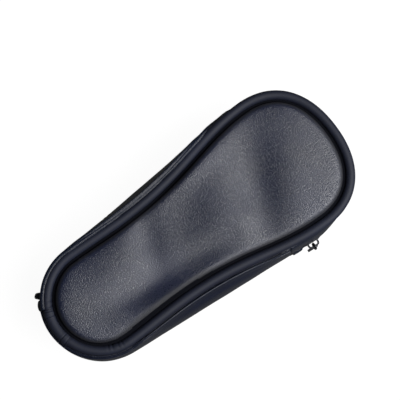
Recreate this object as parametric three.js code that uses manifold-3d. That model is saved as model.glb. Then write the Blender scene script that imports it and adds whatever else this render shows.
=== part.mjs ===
// Padded leather case with a zip round three sides and a plain leather hinge strip round the fourth.
// Seen from above the outline has a wide head (+X), a waist and a narrow tail (-X).
// The frame's origin lies on the resting face; +Y is the zipped side, -Y the hinge side, +Z is up.
import * as THREE from 'three';
import { mergeVertices } from 'three/addons/utils/BufferGeometryUtils.js';
import Module from 'manifold-3d';

const wasm = await Module();
wasm.setup();

// ---------- driving dimensions, millimetres ----------
const TAIL_X = -62.9;            // centre of the round tail end
const TAIL_WELT_R = 28.4;        // welt centre line round the tail
const WAIST_X = -30;             // narrowest place
const WAIST_HALF = 27.6;         // half width of the welt line there
const HEAD_X = 60;               // widest place
const HEAD_HALF = 39.1;          // half width of the welt line there
const HEAD_DEPTH = 34;           // from the widest place to the head's tip, on the welt line
const TAIL_EASE = 12;            // Bezier handles: the tail's and the waist's towards each other,
const WAIST_EASE = 45;           // the waist's towards the head
const HEAD_EASE = 30;            // and the head's towards the waist

const TAIL_BULGE = 5.3;          // wall at zip height, out from the welt line at the tail
const HEAD_BULGE = 3.9;          // and at the head's widest place
const HEAD_TIP_BULGE = 2.6;      // and at the head's tip
const HEAD_CORNER_BULGE = 0.38;  // and half way between them
const WALL_R0 = 0.2;             // and where it leaves the seam
const BULGE_POWER = 2.6;         // how boxy the wall's bulge is; 2 is an ellipse

const WELT_GAP = 42.6;           // height from base welt to lid welt
const BASE_CROWN = 3.4;          // base panel below the base welt's centre
const LID_CROWN = 5;             // lid panel above the lid welt's centre

const CLEAR = 0.3;               // gap between pieces that touch
const LEATHER = 1.1;             // panels, bands, hinge strip
const PIPING_R = 2.6;            // outside of the piping
const PIPING_SKIN = 0.6;         // leather round the cord
const SEAM_TILT = 25;            // seam allowances dip inward by this many degrees
const SEAM_DEEP = 3.9;           // seam allowances, from the piping to their end
const BINDING = 0.65;            // tape folded round the seam allowances
const BINDING_GRIP = 1.7;        // how far it reaches over them
const ROLL_RISE = 2.2;           // panel beside the piping, above the welt's centre
const ROLL_IN = 2;               // and this far in from the piping
const SHOULDER_IN = 2.5;         // panel's shoulder, in from the seam's end
const SHOULDER_SHARE = 0.45;     // share of the crown's rise reached there
const PANEL_FOOT = 0.5;          // where the panel's face comes out of the seam: above the welt's centre,
const PANEL_FOOT_IN = 0.25;      // and in from the piping beyond the usual gap
const ROLL_THIN = 0.8;           // leather at the roll, share of its thickness
const ROLL_BACK = 0.9;           // its inner corner there, further in than the outer one
const LID_CAP_INSET = 18;        // edge of each panel's flat middle, in from the welt line
const BASE_CAP_INSET = 10;
const MOUTH_IN = 0.4;            // seam's mouth, in from the piping
const MOUTH_BACK = 1;            // panel's inner corner there, further in than the outer one
const MOUTH_BACK_WALL = 0.4;     // and the wall's
const WALL_DROP = 0.15;          // wall's face below the piping beyond the usual gap
const FOAM = 4;
const FOAM_SLACK = 0.1;          // more room for it at the shoulder
const FOAM_EDGE = 0.5;           // its edge, in from the lining's
const EDGE_MARGIN = 1.25;        // linings' edges, from the seam's binding
const WALL_LINING_MARGIN = 1.05; // wall lining's edge, from the binding's
const LINING = 0.8;
const WALL_LINING = 1.2;

const HEAD_SEAM_BACK = 16.6;     // hinge strip meets the zip band this far back from the head arc's centre
const TAIL_SEAM_ANGLE = 156.2;   // and at the tail, degrees round the tail centre
const TAPE = 0.5;                // zip tape, thick
const TAPE_TUCK = 3;             // tape behind each band's edge
const TAPE_END = 1;              // tape's two ends, from the seams beside them
const TEETH_PITCH = 3.6;         // nearly: a whole number of teeth is fitted
const TEETH_THICK = 2.6;
const TOOTH_SLACK = 0.05;        // more gap between meshed teeth than the usual one
const TOOTH_TAPER = 0.12;        // each side of a tooth, towards its tip
const TEETH_HELD = 0.18;         // row's start, this share of the slider behind its middle
const RAIL_IN = 1.2;             // teeth rail, nearest to and furthest from the zip's middle
const RAIL_OUT = 2.2;
const STOP_LENGTH = 2;           // bottom stop, clamped over both rows
const TOP_STOP = 1.3;            // each top stop, along the zip
const STOP_PROUD = 1;            // stops, out from the tape's faces
const STOP_LIP = 1.6;            // top stops' jaws, past the rail
const TAB_GAP = 0.6;             // zip's end tabs, from the seams beside them
const STOP_FROM_TAB = 0.333;     // top stops, from the head tab; the slider rests against them
const SLIDER_LENGTH = 9;
const SLIDER_NOSE = 8.4;         // width at the nose
const SLIDER_REAR = 7.2;         // width at the rear
const WINDOW_MARGIN = 1.3;       // from the slider's nose to the edge of each band
const WING = 1.2;                // slider plates
const SLIDE_GAP = 0.4;           // between slider and zip
const BAR_H = 1.4;               // arch's bar, across the zip
const BAR_T = 1;                 // and away from it
const ARCH_HALF = 3.5;           // arch, along the zip
const ARCH_LEG = 1;
const LINK_GAP = 0.25;           // link's inner bend, from the slider's plate
const WIRE_R = 0.5;              // link
const LINK_DROP = 5;             // between the link's two end centres
const PULL_LENGTH = 13;
const PULL_TOP_W = 4.6;
const PULL_END_W = 6.4;
const PULL_T = 1.4;
const PULL_CORNER = 1.6;
const EYE_WALL = 1;              // pull's metal over its eye
const EYE_HALF = 1.3;
const EYE_DEEP = 2.2;
const DISH_DEEP = 0.25;          // shallow dish in the pull's face,
const DISH_LENGTH = 5.2;
const DISH_EDGE = 1.3;           // and the rim left round it
const HEAD_TAB = 6.5;            // lengths of the zip's two end tabs
const TAIL_TAB = 10;
const HEAD_TAB_PROUD = 1.1;      // out from the wall
const HEAD_TAB_CORNER = 1.4;     // how far the fold's edges are rounded away
const TAIL_TAB_CORNER = 2;
const TAB_SHOULDER = 0.9;        // a tab's shoulders, below its ridge
const SLEEVE_FROM = 157;         // piping joint sleeve, degrees round the tail centre
const SLEEVE_TO = 192;
const SLEEVE_T = 0.5;
const SLEEVE_ARC = [-50, 140];   // how far it reaches round the piping, degrees from level

// ---------- derived ----------
const WALL_TOP = PIPING_R + CLEAR + WALL_DROP;        // the wall's face starts this far below the welt
const SEAM_MOUTH = PIPING_R + MOUTH_IN;           // seam's mouth and end, from the welt's centre
const SEAM_END = PIPING_R + SEAM_DEEP;
const BASE_WELT_Z = BASE_CROWN;
const LID_WELT_Z = BASE_WELT_Z + WELT_GAP;
const MID_Z = BASE_WELT_Z + WELT_GAP / 2;
const WINDOW = SLIDER_NOSE / 2 + WINDOW_MARGIN;    // half the gap between the two bands
const WALL_TAIL_R = TAIL_WELT_R + TAIL_BULGE;
const WALL_HEAD_R = HEAD_HALF + HEAD_BULGE;
const WALL_HEAD_X = HEAD_X + HEAD_DEPTH + HEAD_TIP_BULGE - WALL_HEAD_R;
const HEAD_SEAM_X = WALL_HEAD_X - HEAD_SEAM_BACK;
const deg = THREE.MathUtils.degToRad;

// Bezier handle of the head's quarter curve, as a share of its size: the curve's middle
// lies inside the wall's arc by the corner's bulge.
function headFullness() {
  const back = HEAD_X - WALL_HEAD_X;
  const r = WALL_HEAD_R - HEAD_CORNER_BULGE;
  const size = HEAD_DEPTH ** 2 + HEAD_HALF ** 2;
  const root = Math.sqrt((back * HEAD_DEPTH) ** 2 - size * (back ** 2 - r ** 2));
  const middle = (root - back * HEAD_DEPTH) / size;
  return (8 * middle - 4) / 3;
}

// ---------- outlines seen from above ----------
// Welt line, counter-clockwise from the tail's seam.
function weltPath() {
  const path = new THREE.Path();
  const seam = deg(TAIL_SEAM_ANGLE);
  const tip = HEAD_X + HEAD_DEPTH;
  const k = headFullness();
  path.absarc(TAIL_X, 0, TAIL_WELT_R, seam, deg(270), false);
  path.bezierCurveTo(TAIL_X + TAIL_EASE, -TAIL_WELT_R, WAIST_X - TAIL_EASE, -WAIST_HALF,
    WAIST_X, -WAIST_HALF);
  path.bezierCurveTo(WAIST_X + WAIST_EASE, -WAIST_HALF, HEAD_X - HEAD_EASE, -HEAD_HALF, HEAD_X, -HEAD_HALF);
  path.bezierCurveTo(HEAD_X + k * HEAD_DEPTH, -HEAD_HALF, tip, -k * HEAD_HALF, tip, 0);
  path.bezierCurveTo(tip, k * HEAD_HALF, HEAD_X + k * HEAD_DEPTH, HEAD_HALF, HEAD_X, HEAD_HALF);
  path.bezierCurveTo(HEAD_X - HEAD_EASE, HEAD_HALF, WAIST_X + WAIST_EASE, WAIST_HALF, WAIST_X, WAIST_HALF);
  path.bezierCurveTo(WAIST_X - TAIL_EASE, WAIST_HALF, TAIL_X + TAIL_EASE, TAIL_WELT_R, TAIL_X, TAIL_WELT_R);
  path.absarc(TAIL_X, 0, TAIL_WELT_R, deg(90), seam, false);
  return path;
}

// Wall at zip height: the tail's arc and the head's arc joined by straight sides.
const SIDE_SIN = (WALL_HEAD_R - WALL_TAIL_R) / (WALL_HEAD_X - TAIL_X);
const SIDE_ANGLE = Math.asin(SIDE_SIN);

function wallDistance(x, y) {
  const h = WALL_HEAD_X - TAIL_X;
  const c = Math.cos(SIDE_ANGLE);
  const along = x - TAIL_X;
  const out = Math.abs(y);
  const k = out * SIDE_SIN + along * c;
  if (k < 0) return Math.hypot(out, along) - WALL_TAIL_R;
  if (k > c * h) return Math.hypot(out, along - h) - WALL_HEAD_R;
  return out * c - along * SIDE_SIN - WALL_TAIL_R;
}

// The same outline moved outward, from the hinge side's tail end, counter-clockwise.
function wallPath(outward) {
  const rt = WALL_TAIL_R + outward;
  const rh = WALL_HEAD_R + outward;
  const low = -Math.PI / 2 - SIDE_ANGLE;
  const path = new THREE.Path();
  path.moveTo(TAIL_X + rt * Math.cos(low), rt * Math.sin(low));
  path.lineTo(WALL_HEAD_X + rh * Math.cos(low), rh * Math.sin(low));
  path.absarc(WALL_HEAD_X, 0, rh, low, -low, false);
  path.lineTo(TAIL_X + rt * Math.cos(-low), rt * Math.sin(-low));
  path.absarc(TAIL_X, 0, rt, -low, low + 2 * Math.PI, false);
  return path;
}

// ---------- stations: places along an outline, closer together where it bends ----------
const STEP_LENGTH = 16;
const STEP_TURN = deg(15);

function pathPlace(path, u) {
  const p = path.getPointAt(Math.min(Math.max(u, 0), 1));
  const t = path.getTangentAt(Math.min(Math.max(u, 0), 1));
  return { x: p.x, y: p.y, nx: t.y, ny: -t.x };
}

function placesBetween(path, from, to, stepTurn = STEP_TURN) {
  const fine = 240;
  const cost = [0];
  let last = pathPlace(path, from);
  for (let i = 1; i <= fine; i += 1) {
    const here = pathPlace(path, from + (to - from) * i / fine);
    const turn = Math.acos(Math.min(1, here.nx * last.nx + here.ny * last.ny));
    const move = Math.hypot(here.x - last.x, here.y - last.y);
    cost.push(cost[i - 1] + Math.max(turn / stepTurn, move / STEP_LENGTH));
    last = here;
  }
  const steps = Math.ceil(cost[fine]);
  const places = [];
  for (let s = 0, i = 0; s <= steps; s += 1) {
    const want = cost[fine] * s / steps;
    while (i < fine - 1 && cost[i + 1] < want) i += 1;
    const part = Math.min(1, (want - cost[i]) / (cost[i + 1] - cost[i]));
    places.push(from + (to - from) * (i + part) / fine);
  }
  return places;
}

// Where along a path a test first turns true, walking counter-clockwise from 'from'.
function firstPlace(path, from, test) {
  const fine = 4000;
  for (let i = Math.round(from * fine); i < fine; i += 1) {
    const p = path.getPointAt(i / fine);
    if (test(p)) return i / fine;
  }
  return 1;
}

const welt = weltPath();
const headSeam = firstPlace(welt, 0.1, (p) => p.y < 0 && p.x >= HEAD_SEAM_X);

// A station knows how far outside the welt line the wall lies at zip height.
function station(u) {
  const s = pathPlace(welt, u);
  let bulge = 0;
  for (let i = 0; i < 12; i += 1) bulge -= wallDistance(s.x + s.nx * bulge, s.y + s.ny * bulge);
  return { ...s, bulge: Math.max(bulge, WALL_R0) };
}

const seamTrim = CLEAR / 2 / welt.getLength();
const stripPlaces = placesBetween(welt, seamTrim, headSeam - seamTrim);
const bandPlaces = placesBetween(welt, headSeam + seamTrim, 1 - seamTrim);
const stripStations = stripPlaces.map(station);
const bandStations = bandPlaces.map(station);

// The place on the welt line at an angle round the tail's centre, past the tail's seam.
const tailAngle = (p) => (Math.atan2(p.y, p.x - TAIL_X) + 2 * Math.PI) % (2 * Math.PI);
const tailPlace = (angle) => firstPlace(welt, 0, (p) => tailAngle(p) >= deg(angle));
const sleevePlaces = placesBetween(welt, tailPlace(SLEEVE_FROM), tailPlace(SLEEVE_TO));
const sleeveStations = sleevePlaces.map(station);
const ringStations = [
  ...placesBetween(welt, 0, sleevePlaces[0]).slice(0, -1),
  ...sleevePlaces,
  ...placesBetween(welt, sleevePlaces[sleevePlaces.length - 1], headSeam).slice(1),
  ...placesBetween(welt, headSeam, 1).slice(1, -1),
].map(station);

// ---------- solids ----------
// One closed mesh from rows of points and faces between them; turned right side out.
function solid(points, faces) {
  const geometry = new THREE.BufferGeometry();
  geometry.setAttribute('position', new THREE.Float32BufferAttribute(points.flat(), 3));
  let volume = 0;
  const v = faces.map((f) => f.map((i) => new THREE.Vector3(...points[i])));
  for (const [a, b, c] of v) volume += a.dot(b.clone().cross(c));
  geometry.setIndex(faces.flatMap(([a, b, c]) => (volume > 0 ? [a, b, c] : [a, c, b])));
  geometry.computeVertexNormals();
  return geometry;
}

// Triangles over a closed loop, turning the way the loop does.
function triangulate(loop) {
  const flat = loop.map(([x, y]) => new THREE.Vector2(x, y));
  const turn = Math.sign(THREE.ShapeUtils.area(flat));
  return THREE.ShapeUtils.triangulateShape(flat, []).map(([a, b, c]) => {
    const way = Math.sign(THREE.ShapeUtils.area([flat[a], flat[b], flat[c]]));
    return way === turn ? [a, b, c] : [a, c, b];
  });
}

// The same for a section whose first half of points runs out and whose second half runs back beside it.
const ladder = (loop) => Array.from({ length: loop.length / 2 - 1 }, (_, i) => {
  const back = loop.length - 1 - i;
  return [[i, i + 1, back - 1], [i, back - 1, back]];
}).flat();

// Sweeps a closed section of [outward, height] points along stations, with or without ends.
function sweep(stations, section, closed, fill = ladder) {
  const points = [];
  const faces = [];
  const rows = stations.map((s) => section(s));
  const n = rows[0].length;
  rows.forEach((row, i) => {
    const s = stations[i];
    row.forEach(([r, z]) => points.push([s.x + s.nx * r, s.y + s.ny * r, z]));
  });
  const spans = closed ? stations.length : stations.length - 1;
  for (let i = 0; i < spans; i += 1) {
    const a = i * n;
    const b = ((i + 1) % stations.length) * n;
    for (let j = 0; j < n; j += 1) {
      const k = (j + 1) % n;
      faces.push([a + j, b + j, b + k], [a + j, b + k, a + k]);
    }
  }
  if (!closed) {
    const end = (stations.length - 1) * n;
    for (const [a, b, c] of fill(rows[0])) faces.push([a, b, c]);
    for (const [a, b, c] of fill(rows[stations.length - 1])) faces.push([end + a, end + c, end + b]);
  }
  return solid(points, faces);
}

// A disc: rings that follow the welt line, from the upper cap over the edge to the lower cap.
function disc(stations, profile) {
  const points = [];
  const faces = [];
  const n = stations.length;
  profile.forEach(([r, z]) => stations.forEach((s) => points.push([s.x + s.nx * r, s.y + s.ny * r, z])));
  for (let j = 0; j < profile.length - 1; j += 1) {
    for (let i = 0; i < n; i += 1) {
      const k = (i + 1) % n;
      faces.push([j * n + i, (j + 1) * n + i, (j + 1) * n + k], [j * n + i, (j + 1) * n + k, j * n + k]);
    }
  }
  const last = (profile.length - 1) * n;
  const cap = triangulate(points.slice(0, n));
  for (const [a, b, c] of cap) faces.push([a, b, c], [last + a, last + c, last + b]);
  return solid(points, faces);
}

// ---------- manifold-3d joins ----------
function toManifold(geometry) {
  const g = geometry.clone();
  g.deleteAttribute('normal');
  g.deleteAttribute('uv');
  const m = mergeVertices(g, 1e-4);
  const mesh = new wasm.Mesh({
    numProp: 3,
    vertProperties: new Float32Array(m.attributes.position.array),
    triVerts: new Uint32Array(m.index.array),
  });
  return new wasm.Manifold(mesh);
}

function fromManifold(manifold) {
  const mesh = manifold.getMesh();
  const geometry = new THREE.BufferGeometry();
  geometry.setAttribute('position', new THREE.BufferAttribute(new Float32Array(mesh.vertProperties), 3));
  geometry.setIndex(new THREE.BufferAttribute(new Uint32Array(mesh.triVerts), 1));
  geometry.computeVertexNormals();
  return geometry;
}

const combine = (way) => (first, ...rest) => {
  const all = rest.reduce((m, g) => m[way](toManifold(g)), toManifold(first));
  return fromManifold(all);
};
const joined = combine('add');
const cut = combine('subtract');

// ---------- materials ----------
const finish = (color, roughness, metalness = 0) => () => (
  new THREE.MeshStandardMaterial({ color, roughness, metalness })
);
const leather = finish(0x1b1c21, 0.5);
const pipingLeather = finish(0x17181c, 0.42);
const cordWhite = finish(0xb9b6ad, 0.9);
const foam = finish(0x55565a, 0.95);
const lining = finish(0x24252a, 0.9);
const tape = finish(0x111216, 0.85);
const plastic = finish(0x15161a, 0.35);
const metal = finish(0x84868b, 0.3, 0.9);

const caseGroup = new THREE.Group();
caseGroup.name = 'zip_case';
const lidGroup = new THREE.Group();
const baseGroup = new THREE.Group();
const sliderGroup = new THREE.Group();
caseGroup.add(lidGroup, baseGroup, sliderGroup);

function piece(group, name, geometry, material) {
  const mesh = new THREE.Mesh(geometry, material());
  mesh.name = name;
  group.add(mesh);
  return mesh;
}

// ---------- welt section: everything that meets in the seam under the piping ----------
// Written for the lid, with the welt's centre at (0, 0). The base uses it upside down.
const along = (u, v) => {
  const c = Math.cos(deg(SEAM_TILT));
  const s = Math.sin(deg(SEAM_TILT));
  return [-u * c - v * s, -u * s + v * c];
};
const LEG = CLEAR / 2 + PIPING_SKIN;                 // piping cover's two legs, out from the seam's middle
const STACK = LEG + CLEAR + LEATHER;                 // the leather laid against them
const ARC_SIDES = 7;

function arcPoints(radius, from, to, sides) {
  return Array.from({ length: sides + 1 }, (_, i) => {
    const a = from + (to - from) * i / sides;
    return [radius * Math.cos(a), radius * Math.sin(a)];
  });
}

// Leather folded round the cord, its two legs side by side in the seam.
function pipingCoverSection() {
  const seam = Math.PI + deg(SEAM_TILT);
  const outerHalf = Math.asin(LEG / PIPING_R);
  const innerR = PIPING_R - PIPING_SKIN;
  const innerHalf = Math.asin(CLEAR / 2 / innerR);
  const outer = arcPoints(PIPING_R, seam + outerHalf, seam + 2 * Math.PI - outerHalf, ARC_SIDES + 2);
  const inner = arcPoints(innerR, seam + 2 * Math.PI - innerHalf, seam + innerHalf, ARC_SIDES);
  const end = (v) => along(SEAM_END, v);
  return [end(-LEG), ...outer, end(LEG), end(CLEAR / 2), ...inner, end(-CLEAR / 2)];
}

const cordSection = () => arcPoints(PIPING_R - PIPING_SKIN - CLEAR, 0, 2 * Math.PI * 5 / 6, 5);

function bindingSection() {
  const inner = STACK + CLEAR;
  const outer = inner + BINDING;
  const lip = SEAM_END - BINDING_GRIP;
  const deep = SEAM_END + CLEAR;
  return [along(lip, outer), along(deep + BINDING, outer), along(deep + BINDING, -outer), along(lip, -outer),
    along(lip, -inner), along(deep, -inner), along(deep, inner), along(lip, inner)];
}

// The panel comes up out of the seam, rolls over beside the piping and rises to its crown.
const ROLL = PIPING_R + ROLL_IN;
const SHOULDER = SEAM_END + SHOULDER_IN;
const shoulder = (crown) => ROLL_RISE + (crown - ROLL_RISE) * SHOULDER_SHARE;

function panelProfile(crown, capInset) {
  const under = ROLL_RISE - LEATHER * ROLL_THIN;
  return [
    [-capInset, crown], [-SHOULDER, shoulder(crown)], [-ROLL, ROLL_RISE],
    [-PIPING_R - CLEAR - PANEL_FOOT_IN, PANEL_FOOT],
    along(SEAM_MOUTH, LEG + CLEAR), along(SEAM_END, LEG + CLEAR), along(SEAM_END, STACK),
    along(SEAM_MOUTH + MOUTH_BACK, STACK), [-ROLL - ROLL_BACK, under], [-SHOULDER, shoulder(crown) - LEATHER],
    [-capInset, crown - LEATHER],
  ];
}

const EDGE_INSET = SEAM_END + CLEAR + BINDING + EDGE_MARGIN;   // padding and lining end beside the binding

function paddingProfile(crown, capInset) {
  const top = crown - LEATHER - CLEAR;
  const edge = shoulder(crown) - LEATHER - CLEAR - FOAM_SLACK;
  const inset = EDGE_INSET + FOAM_EDGE;
  return [[-capInset, top], [-inset, edge], [-inset, top - FOAM], [-capInset, top - FOAM]];
}

function liningProfile(crown, capInset) {
  const top = crown - LEATHER - FOAM - 2 * CLEAR;
  return [[-capInset, top], [-EDGE_INSET, top], [-EDGE_INSET, top - LINING], [-capInset, top - LINING]];
}

// The wall leaves the seam under the piping and bulges to the zip's outline at half height.
function wallPoint(s, up, inset) {
  const share = THREE.MathUtils.clamp(up / (WELT_GAP / 2 - WALL_TOP), 0, 1);
  const r = WALL_R0 + (s.bulge - WALL_R0) * (1 - share ** BULGE_POWER) ** (1 / BULGE_POWER);
  return [r - inset, up];
}

// Points down the wall from the welt, heights counted down from the welt's centre.
function wallRun(s, from, to, inset, steps) {
  return Array.from({ length: steps + 1 }, (_, i) => {
    const drop = from + (to - from) * i / steps;
    const [r, up] = wallPoint(s, WELT_GAP / 2 - drop, inset);
    return [r, up - WELT_GAP / 2];
  });
}

const seamOuter = [along(SEAM_END, -LEG - CLEAR), along(SEAM_MOUTH, -LEG - CLEAR)];
const seamInner = [along(SEAM_MOUTH + MOUTH_BACK_WALL, -STACK), along(SEAM_END, -STACK)];

function bandSection(s) {
  const edge = WELT_GAP / 2 - WINDOW;
  const outer = wallRun(s, WALL_TOP, edge, 0, 3);
  const inner = wallRun(s, WALL_TOP + LEATHER, edge, LEATHER, 3).reverse();
  return [...seamOuter, ...outer, ...inner, ...seamInner];
}

function stripSection(s) {
  const half = WELT_GAP / 2;
  const outer = [...seamOuter, ...wallRun(s, WALL_TOP, half, 0, 4)].map(([r, z]) => [r, LID_WELT_Z + z]);
  const inner = [...seamInner.slice().reverse(), ...wallRun(s, WALL_TOP + LEATHER, half, LEATHER, 4)]
    .map(([r, z]) => [r, LID_WELT_Z + z]);
  const mirrored = (loop) => loop.slice(0, -1).reverse().map(([r, z]) => [r, 2 * MID_Z - z]);
  return [...outer, ...mirrored(outer), ...[...inner, ...mirrored(inner)].reverse()];
}

// The tape lies behind the band's inner face, where the tucked edge meets the band's flattest facet.
function facetDepth(a, b) {
  const up = WINDOW + TAPE_TUCK;
  const ra = wallPoint(a, up, 0)[0];
  const rb = wallPoint(b, up, 0)[0];
  return -wallDistance((a.x + a.nx * ra + b.x + b.nx * rb) / 2, (a.y + a.ny * ra + b.y + b.ny * rb) / 2);
}
const deepest = Math.max(...bandStations.slice(1).map((s, i) => facetDepth(bandStations[i], s)));
const TAPE_DEPTH = LEATHER + CLEAR + deepest + TAPE / 2;
const LINING_BACK = TAPE_DEPTH + TAPE / 2 + 2 * CLEAR;

function wallLiningSection(s) {
  const top = WALL_TOP + BINDING_GRIP + WALL_LINING_MARGIN;
  const edge = WELT_GAP / 2 - WINDOW + WINDOW_MARGIN / 2;
  const outer = wallRun(s, top, edge, LINING_BACK, 3);
  const inner = wallRun(s, top, edge, LINING_BACK + WALL_LINING, 3).reverse();
  return [...outer, ...inner];
}

function sleeveSection() {
  const r = PIPING_R + CLEAR;
  const [from, to] = SLEEVE_ARC.map(deg);
  return [...arcPoints(r + SLEEVE_T, from, to, 7), ...arcPoints(r, to, from, 7)];
}

// ---------- both halves ----------
function half(group, prefix, weltZ, facing, crown, capInset) {
  const at = (points) => points.map(([r, z]) => [r, weltZ + facing * z]);
  const ring = (section) => sweep(ringStations, (s) => at(section(s)), true);
  const run = (stations, section) => sweep(stations, (s) => at(section(s)), false);
  piece(group, `${prefix}_panel`, disc(ringStations, at(panelProfile(crown, capInset))), leather);
  piece(group, `${prefix}_padding`, disc(ringStations, at(paddingProfile(crown, capInset))), foam);
  piece(group, `${prefix}_lining`, disc(ringStations, at(liningProfile(crown, capInset))), lining);
  piece(group, `${prefix}_seam_binding`, ring(bindingSection), lining);
  piece(group, `${prefix}_piping_cover`, ring(pipingCoverSection), pipingLeather);
  piece(group, `${prefix}_piping_cord`, ring(cordSection), cordWhite);
  piece(group, `${prefix}_piping_sleeve`, run(sleeveStations, sleeveSection), pipingLeather);
  piece(group, `${prefix}_band`, run(bandStations, bandSection), leather);
  piece(group, `${prefix}_wall_lining`, ring(wallLiningSection), lining);
}

half(lidGroup, 'lid', LID_WELT_Z, 1, LID_CROWN, LID_CAP_INSET);
half(baseGroup, 'base', BASE_WELT_Z, -1, BASE_CROWN, BASE_CAP_INSET);
piece(baseGroup, 'hinge_strip', sweep(stripStations, stripSection, false), leather);

// ---------- zip ----------
const chainPath = wallPath(-TAPE_DEPTH);
const chainLength = chainPath.getLength();
const chainPlace = (distance) => {
  const s = pathPlace(chainPath, distance / chainLength);
  return { ...s, x: s.x + s.nx * TAPE_DEPTH, y: s.y + s.ny * TAPE_DEPTH };
};
const sideStart = TAIL_X - (WALL_TAIL_R - TAPE_DEPTH) * SIDE_SIN;
const sideLength = (WALL_HEAD_X - TAIL_X) * Math.cos(SIDE_ANGLE);
const headSeamRun = (HEAD_SEAM_X - sideStart) / Math.cos(SIDE_ANGLE);
const headArc = (WALL_HEAD_R - TAPE_DEPTH) * (Math.PI + 2 * SIDE_ANGLE);
const tailSeamRun = 2 * sideLength + headArc
  + (WALL_TAIL_R - TAPE_DEPTH) * (deg(TAIL_SEAM_ANGLE) - Math.PI / 2 - SIDE_ANGLE);
const headTabFrom = headSeamRun + TAB_GAP;
const stopFrom = headTabFrom + HEAD_TAB + STOP_FROM_TAB;
const sliderRun = stopFrom + TOP_STOP + CLEAR + SLIDER_LENGTH / 2;
const sliderAngle = (sliderRun - sideLength) / (WALL_HEAD_R - TAPE_DEPTH) - Math.PI / 2 - SIDE_ANGLE;
const zipFrom = headSeamRun + TAPE_END;
const zipTo = tailSeamRun - TAPE_END;
const tapeStations = placesBetween(chainPath, zipFrom / chainLength, zipTo / chainLength, deg(7))
  .map((u) => chainPlace(u * chainLength));

// One woven tape, its edge held by the rail of the teeth.
function tapeGeometry(side) {
  const z = (h) => MID_Z + side * h;
  const face = -TAPE_DEPTH + TAPE / 2;
  const near = RAIL_OUT + CLEAR;
  const far = WINDOW + TAPE_TUCK;
  const section = [[face, z(near)], [face, z(far)], [face - TAPE, z(far)], [face - TAPE, z(near)]];
  return sweep(tapeStations, () => section, false);
}

// Teeth on one rail; each tooth reaches across the middle between two of the other side's.
const teethFrom = sliderRun - SLIDER_LENGTH * TEETH_HELD;
const tailTabFrom = tailSeamRun - TAB_GAP - TAIL_TAB;
const toothWide = TEETH_PITCH / 2 - CLEAR - TOOTH_SLACK;
const stopRoom = toothWide / 2 + STOP_LENGTH + 2 * CLEAR;
const teethRun = tailTabFrom - stopRoom - teethFrom;
const teethCount = Math.round(teethRun / TEETH_PITCH);
const pitch = teethRun / teethCount;

function teethGeometry(side, phase) {
  const root = toothWide / 2;
  const tip = root - TOOTH_TAPER;
  const reach = -RAIL_IN + CLEAR;
  const corners = [[-root, RAIL_IN], [-tip, reach], [tip, reach], [root, RAIL_IN]];
  const points = [];
  const faces = [];
  const put = (run, depth, h) => {
    const s = chainPlace(run);
    points.push([s.x - s.nx * depth, s.y - s.ny * depth, MID_Z + side * h]);
  };
  const front = TAPE_DEPTH - TEETH_THICK / 2;
  const rear = TAPE_DEPTH + TEETH_THICK / 2;
  const each = 10;               // four front corners, four rear corners, the rail's front and rear
  for (let i = 0; i < teethCount; i += 1) {
    const at = teethFrom + (i + phase) * pitch;
    for (const depth of [front, rear]) corners.forEach(([run, h]) => put(at + run, depth, h));
    put(at, front, RAIL_OUT);
    put(at, rear, RAIL_OUT);
  }
  const quad = (a, b, c, d) => faces.push([a, b, c], [a, c, d]);
  for (let i = 0; i < teethCount; i += 1) {
    const f = each * i;
    const r = f + 4;
    const railF = f + 8;
    const railR = f + 9;
    for (let j = 0; j < 3; j += 1) {
      faces.push([f + j, f + j + 1, railF], [r + j, railR, r + j + 1]);
      quad(f + j, r + j, r + j + 1, f + j + 1);
    }
    if (i === teethCount - 1) continue;
    quad(f + 3, f + each, railF + each, railF);
    quad(r + 3, railR, railR + each, r + each);
    quad(f + 3, r + 3, r + each, f + each);
    quad(railF, railF + each, railR + each, railR);
  }
  const last = each * (teethCount - 1);
  quad(4, 0, 8, 9);
  quad(last + 3, last + 7, last + 9, last + 8);
  return solid(points, faces);
}

piece(lidGroup, 'zip_tape_upper', tapeGeometry(1), tape);
piece(baseGroup, 'zip_tape_lower', tapeGeometry(-1), tape);
piece(lidGroup, 'zip_teeth_upper', teethGeometry(1, 0.5), plastic);
piece(baseGroup, 'zip_teeth_lower', teethGeometry(-1, 1), plastic);

// A block that follows the wall: used for the stops and the end tabs. Its section may change along it.
function wallBlock(fromRun, toRun, section, shares = [0, 0.5, 1]) {
  const stations = shares.map((share) => ({ ...chainPlace(fromRun + (toRun - fromRun) * share), share }));
  return sweep(stations, (s) => section(s.share), false, triangulate);
}

const stopFront = -TAPE_DEPTH + TAPE / 2 + STOP_PROUD;
const stopBack = -TAPE_DEPTH - TAPE / 2 - STOP_PROUD;
// Each top stop is a metal U pressed over the tape's edge.
function topStop(side) {
  const z = (h) => MID_Z + side * h;
  const slot = TAPE / 2 + CLEAR;
  const lip = RAIL_OUT + STOP_LIP;
  const section = [
    [stopFront, z(RAIL_IN)], [stopFront, z(lip)],
    [-TAPE_DEPTH + slot, z(lip)], [-TAPE_DEPTH + slot, z(RAIL_OUT)],
    [-TAPE_DEPTH - slot, z(RAIL_OUT)], [-TAPE_DEPTH - slot, z(lip)],
    [stopBack, z(lip)], [stopBack, z(RAIL_IN)],
  ];
  return wallBlock(stopFrom, stopFrom + TOP_STOP, () => section);
}
piece(lidGroup, 'zip_top_stop_upper', topStop(1), metal);
piece(baseGroup, 'zip_top_stop_lower', topStop(-1), metal);

const bottomStopFrom = teethFrom + teethRun + toothWide / 2 + CLEAR;
const bottomStop = [
  [stopFront, MID_Z - RAIL_OUT], [stopFront, MID_Z + RAIL_OUT],
  [stopBack, MID_Z + RAIL_OUT], [stopBack, MID_Z - RAIL_OUT],
];
const bottomStopTo = bottomStopFrom + STOP_LENGTH;
piece(baseGroup, 'zip_bottom_stop', wallBlock(bottomStopFrom, bottomStopTo, () => bottomStop), metal);

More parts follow.
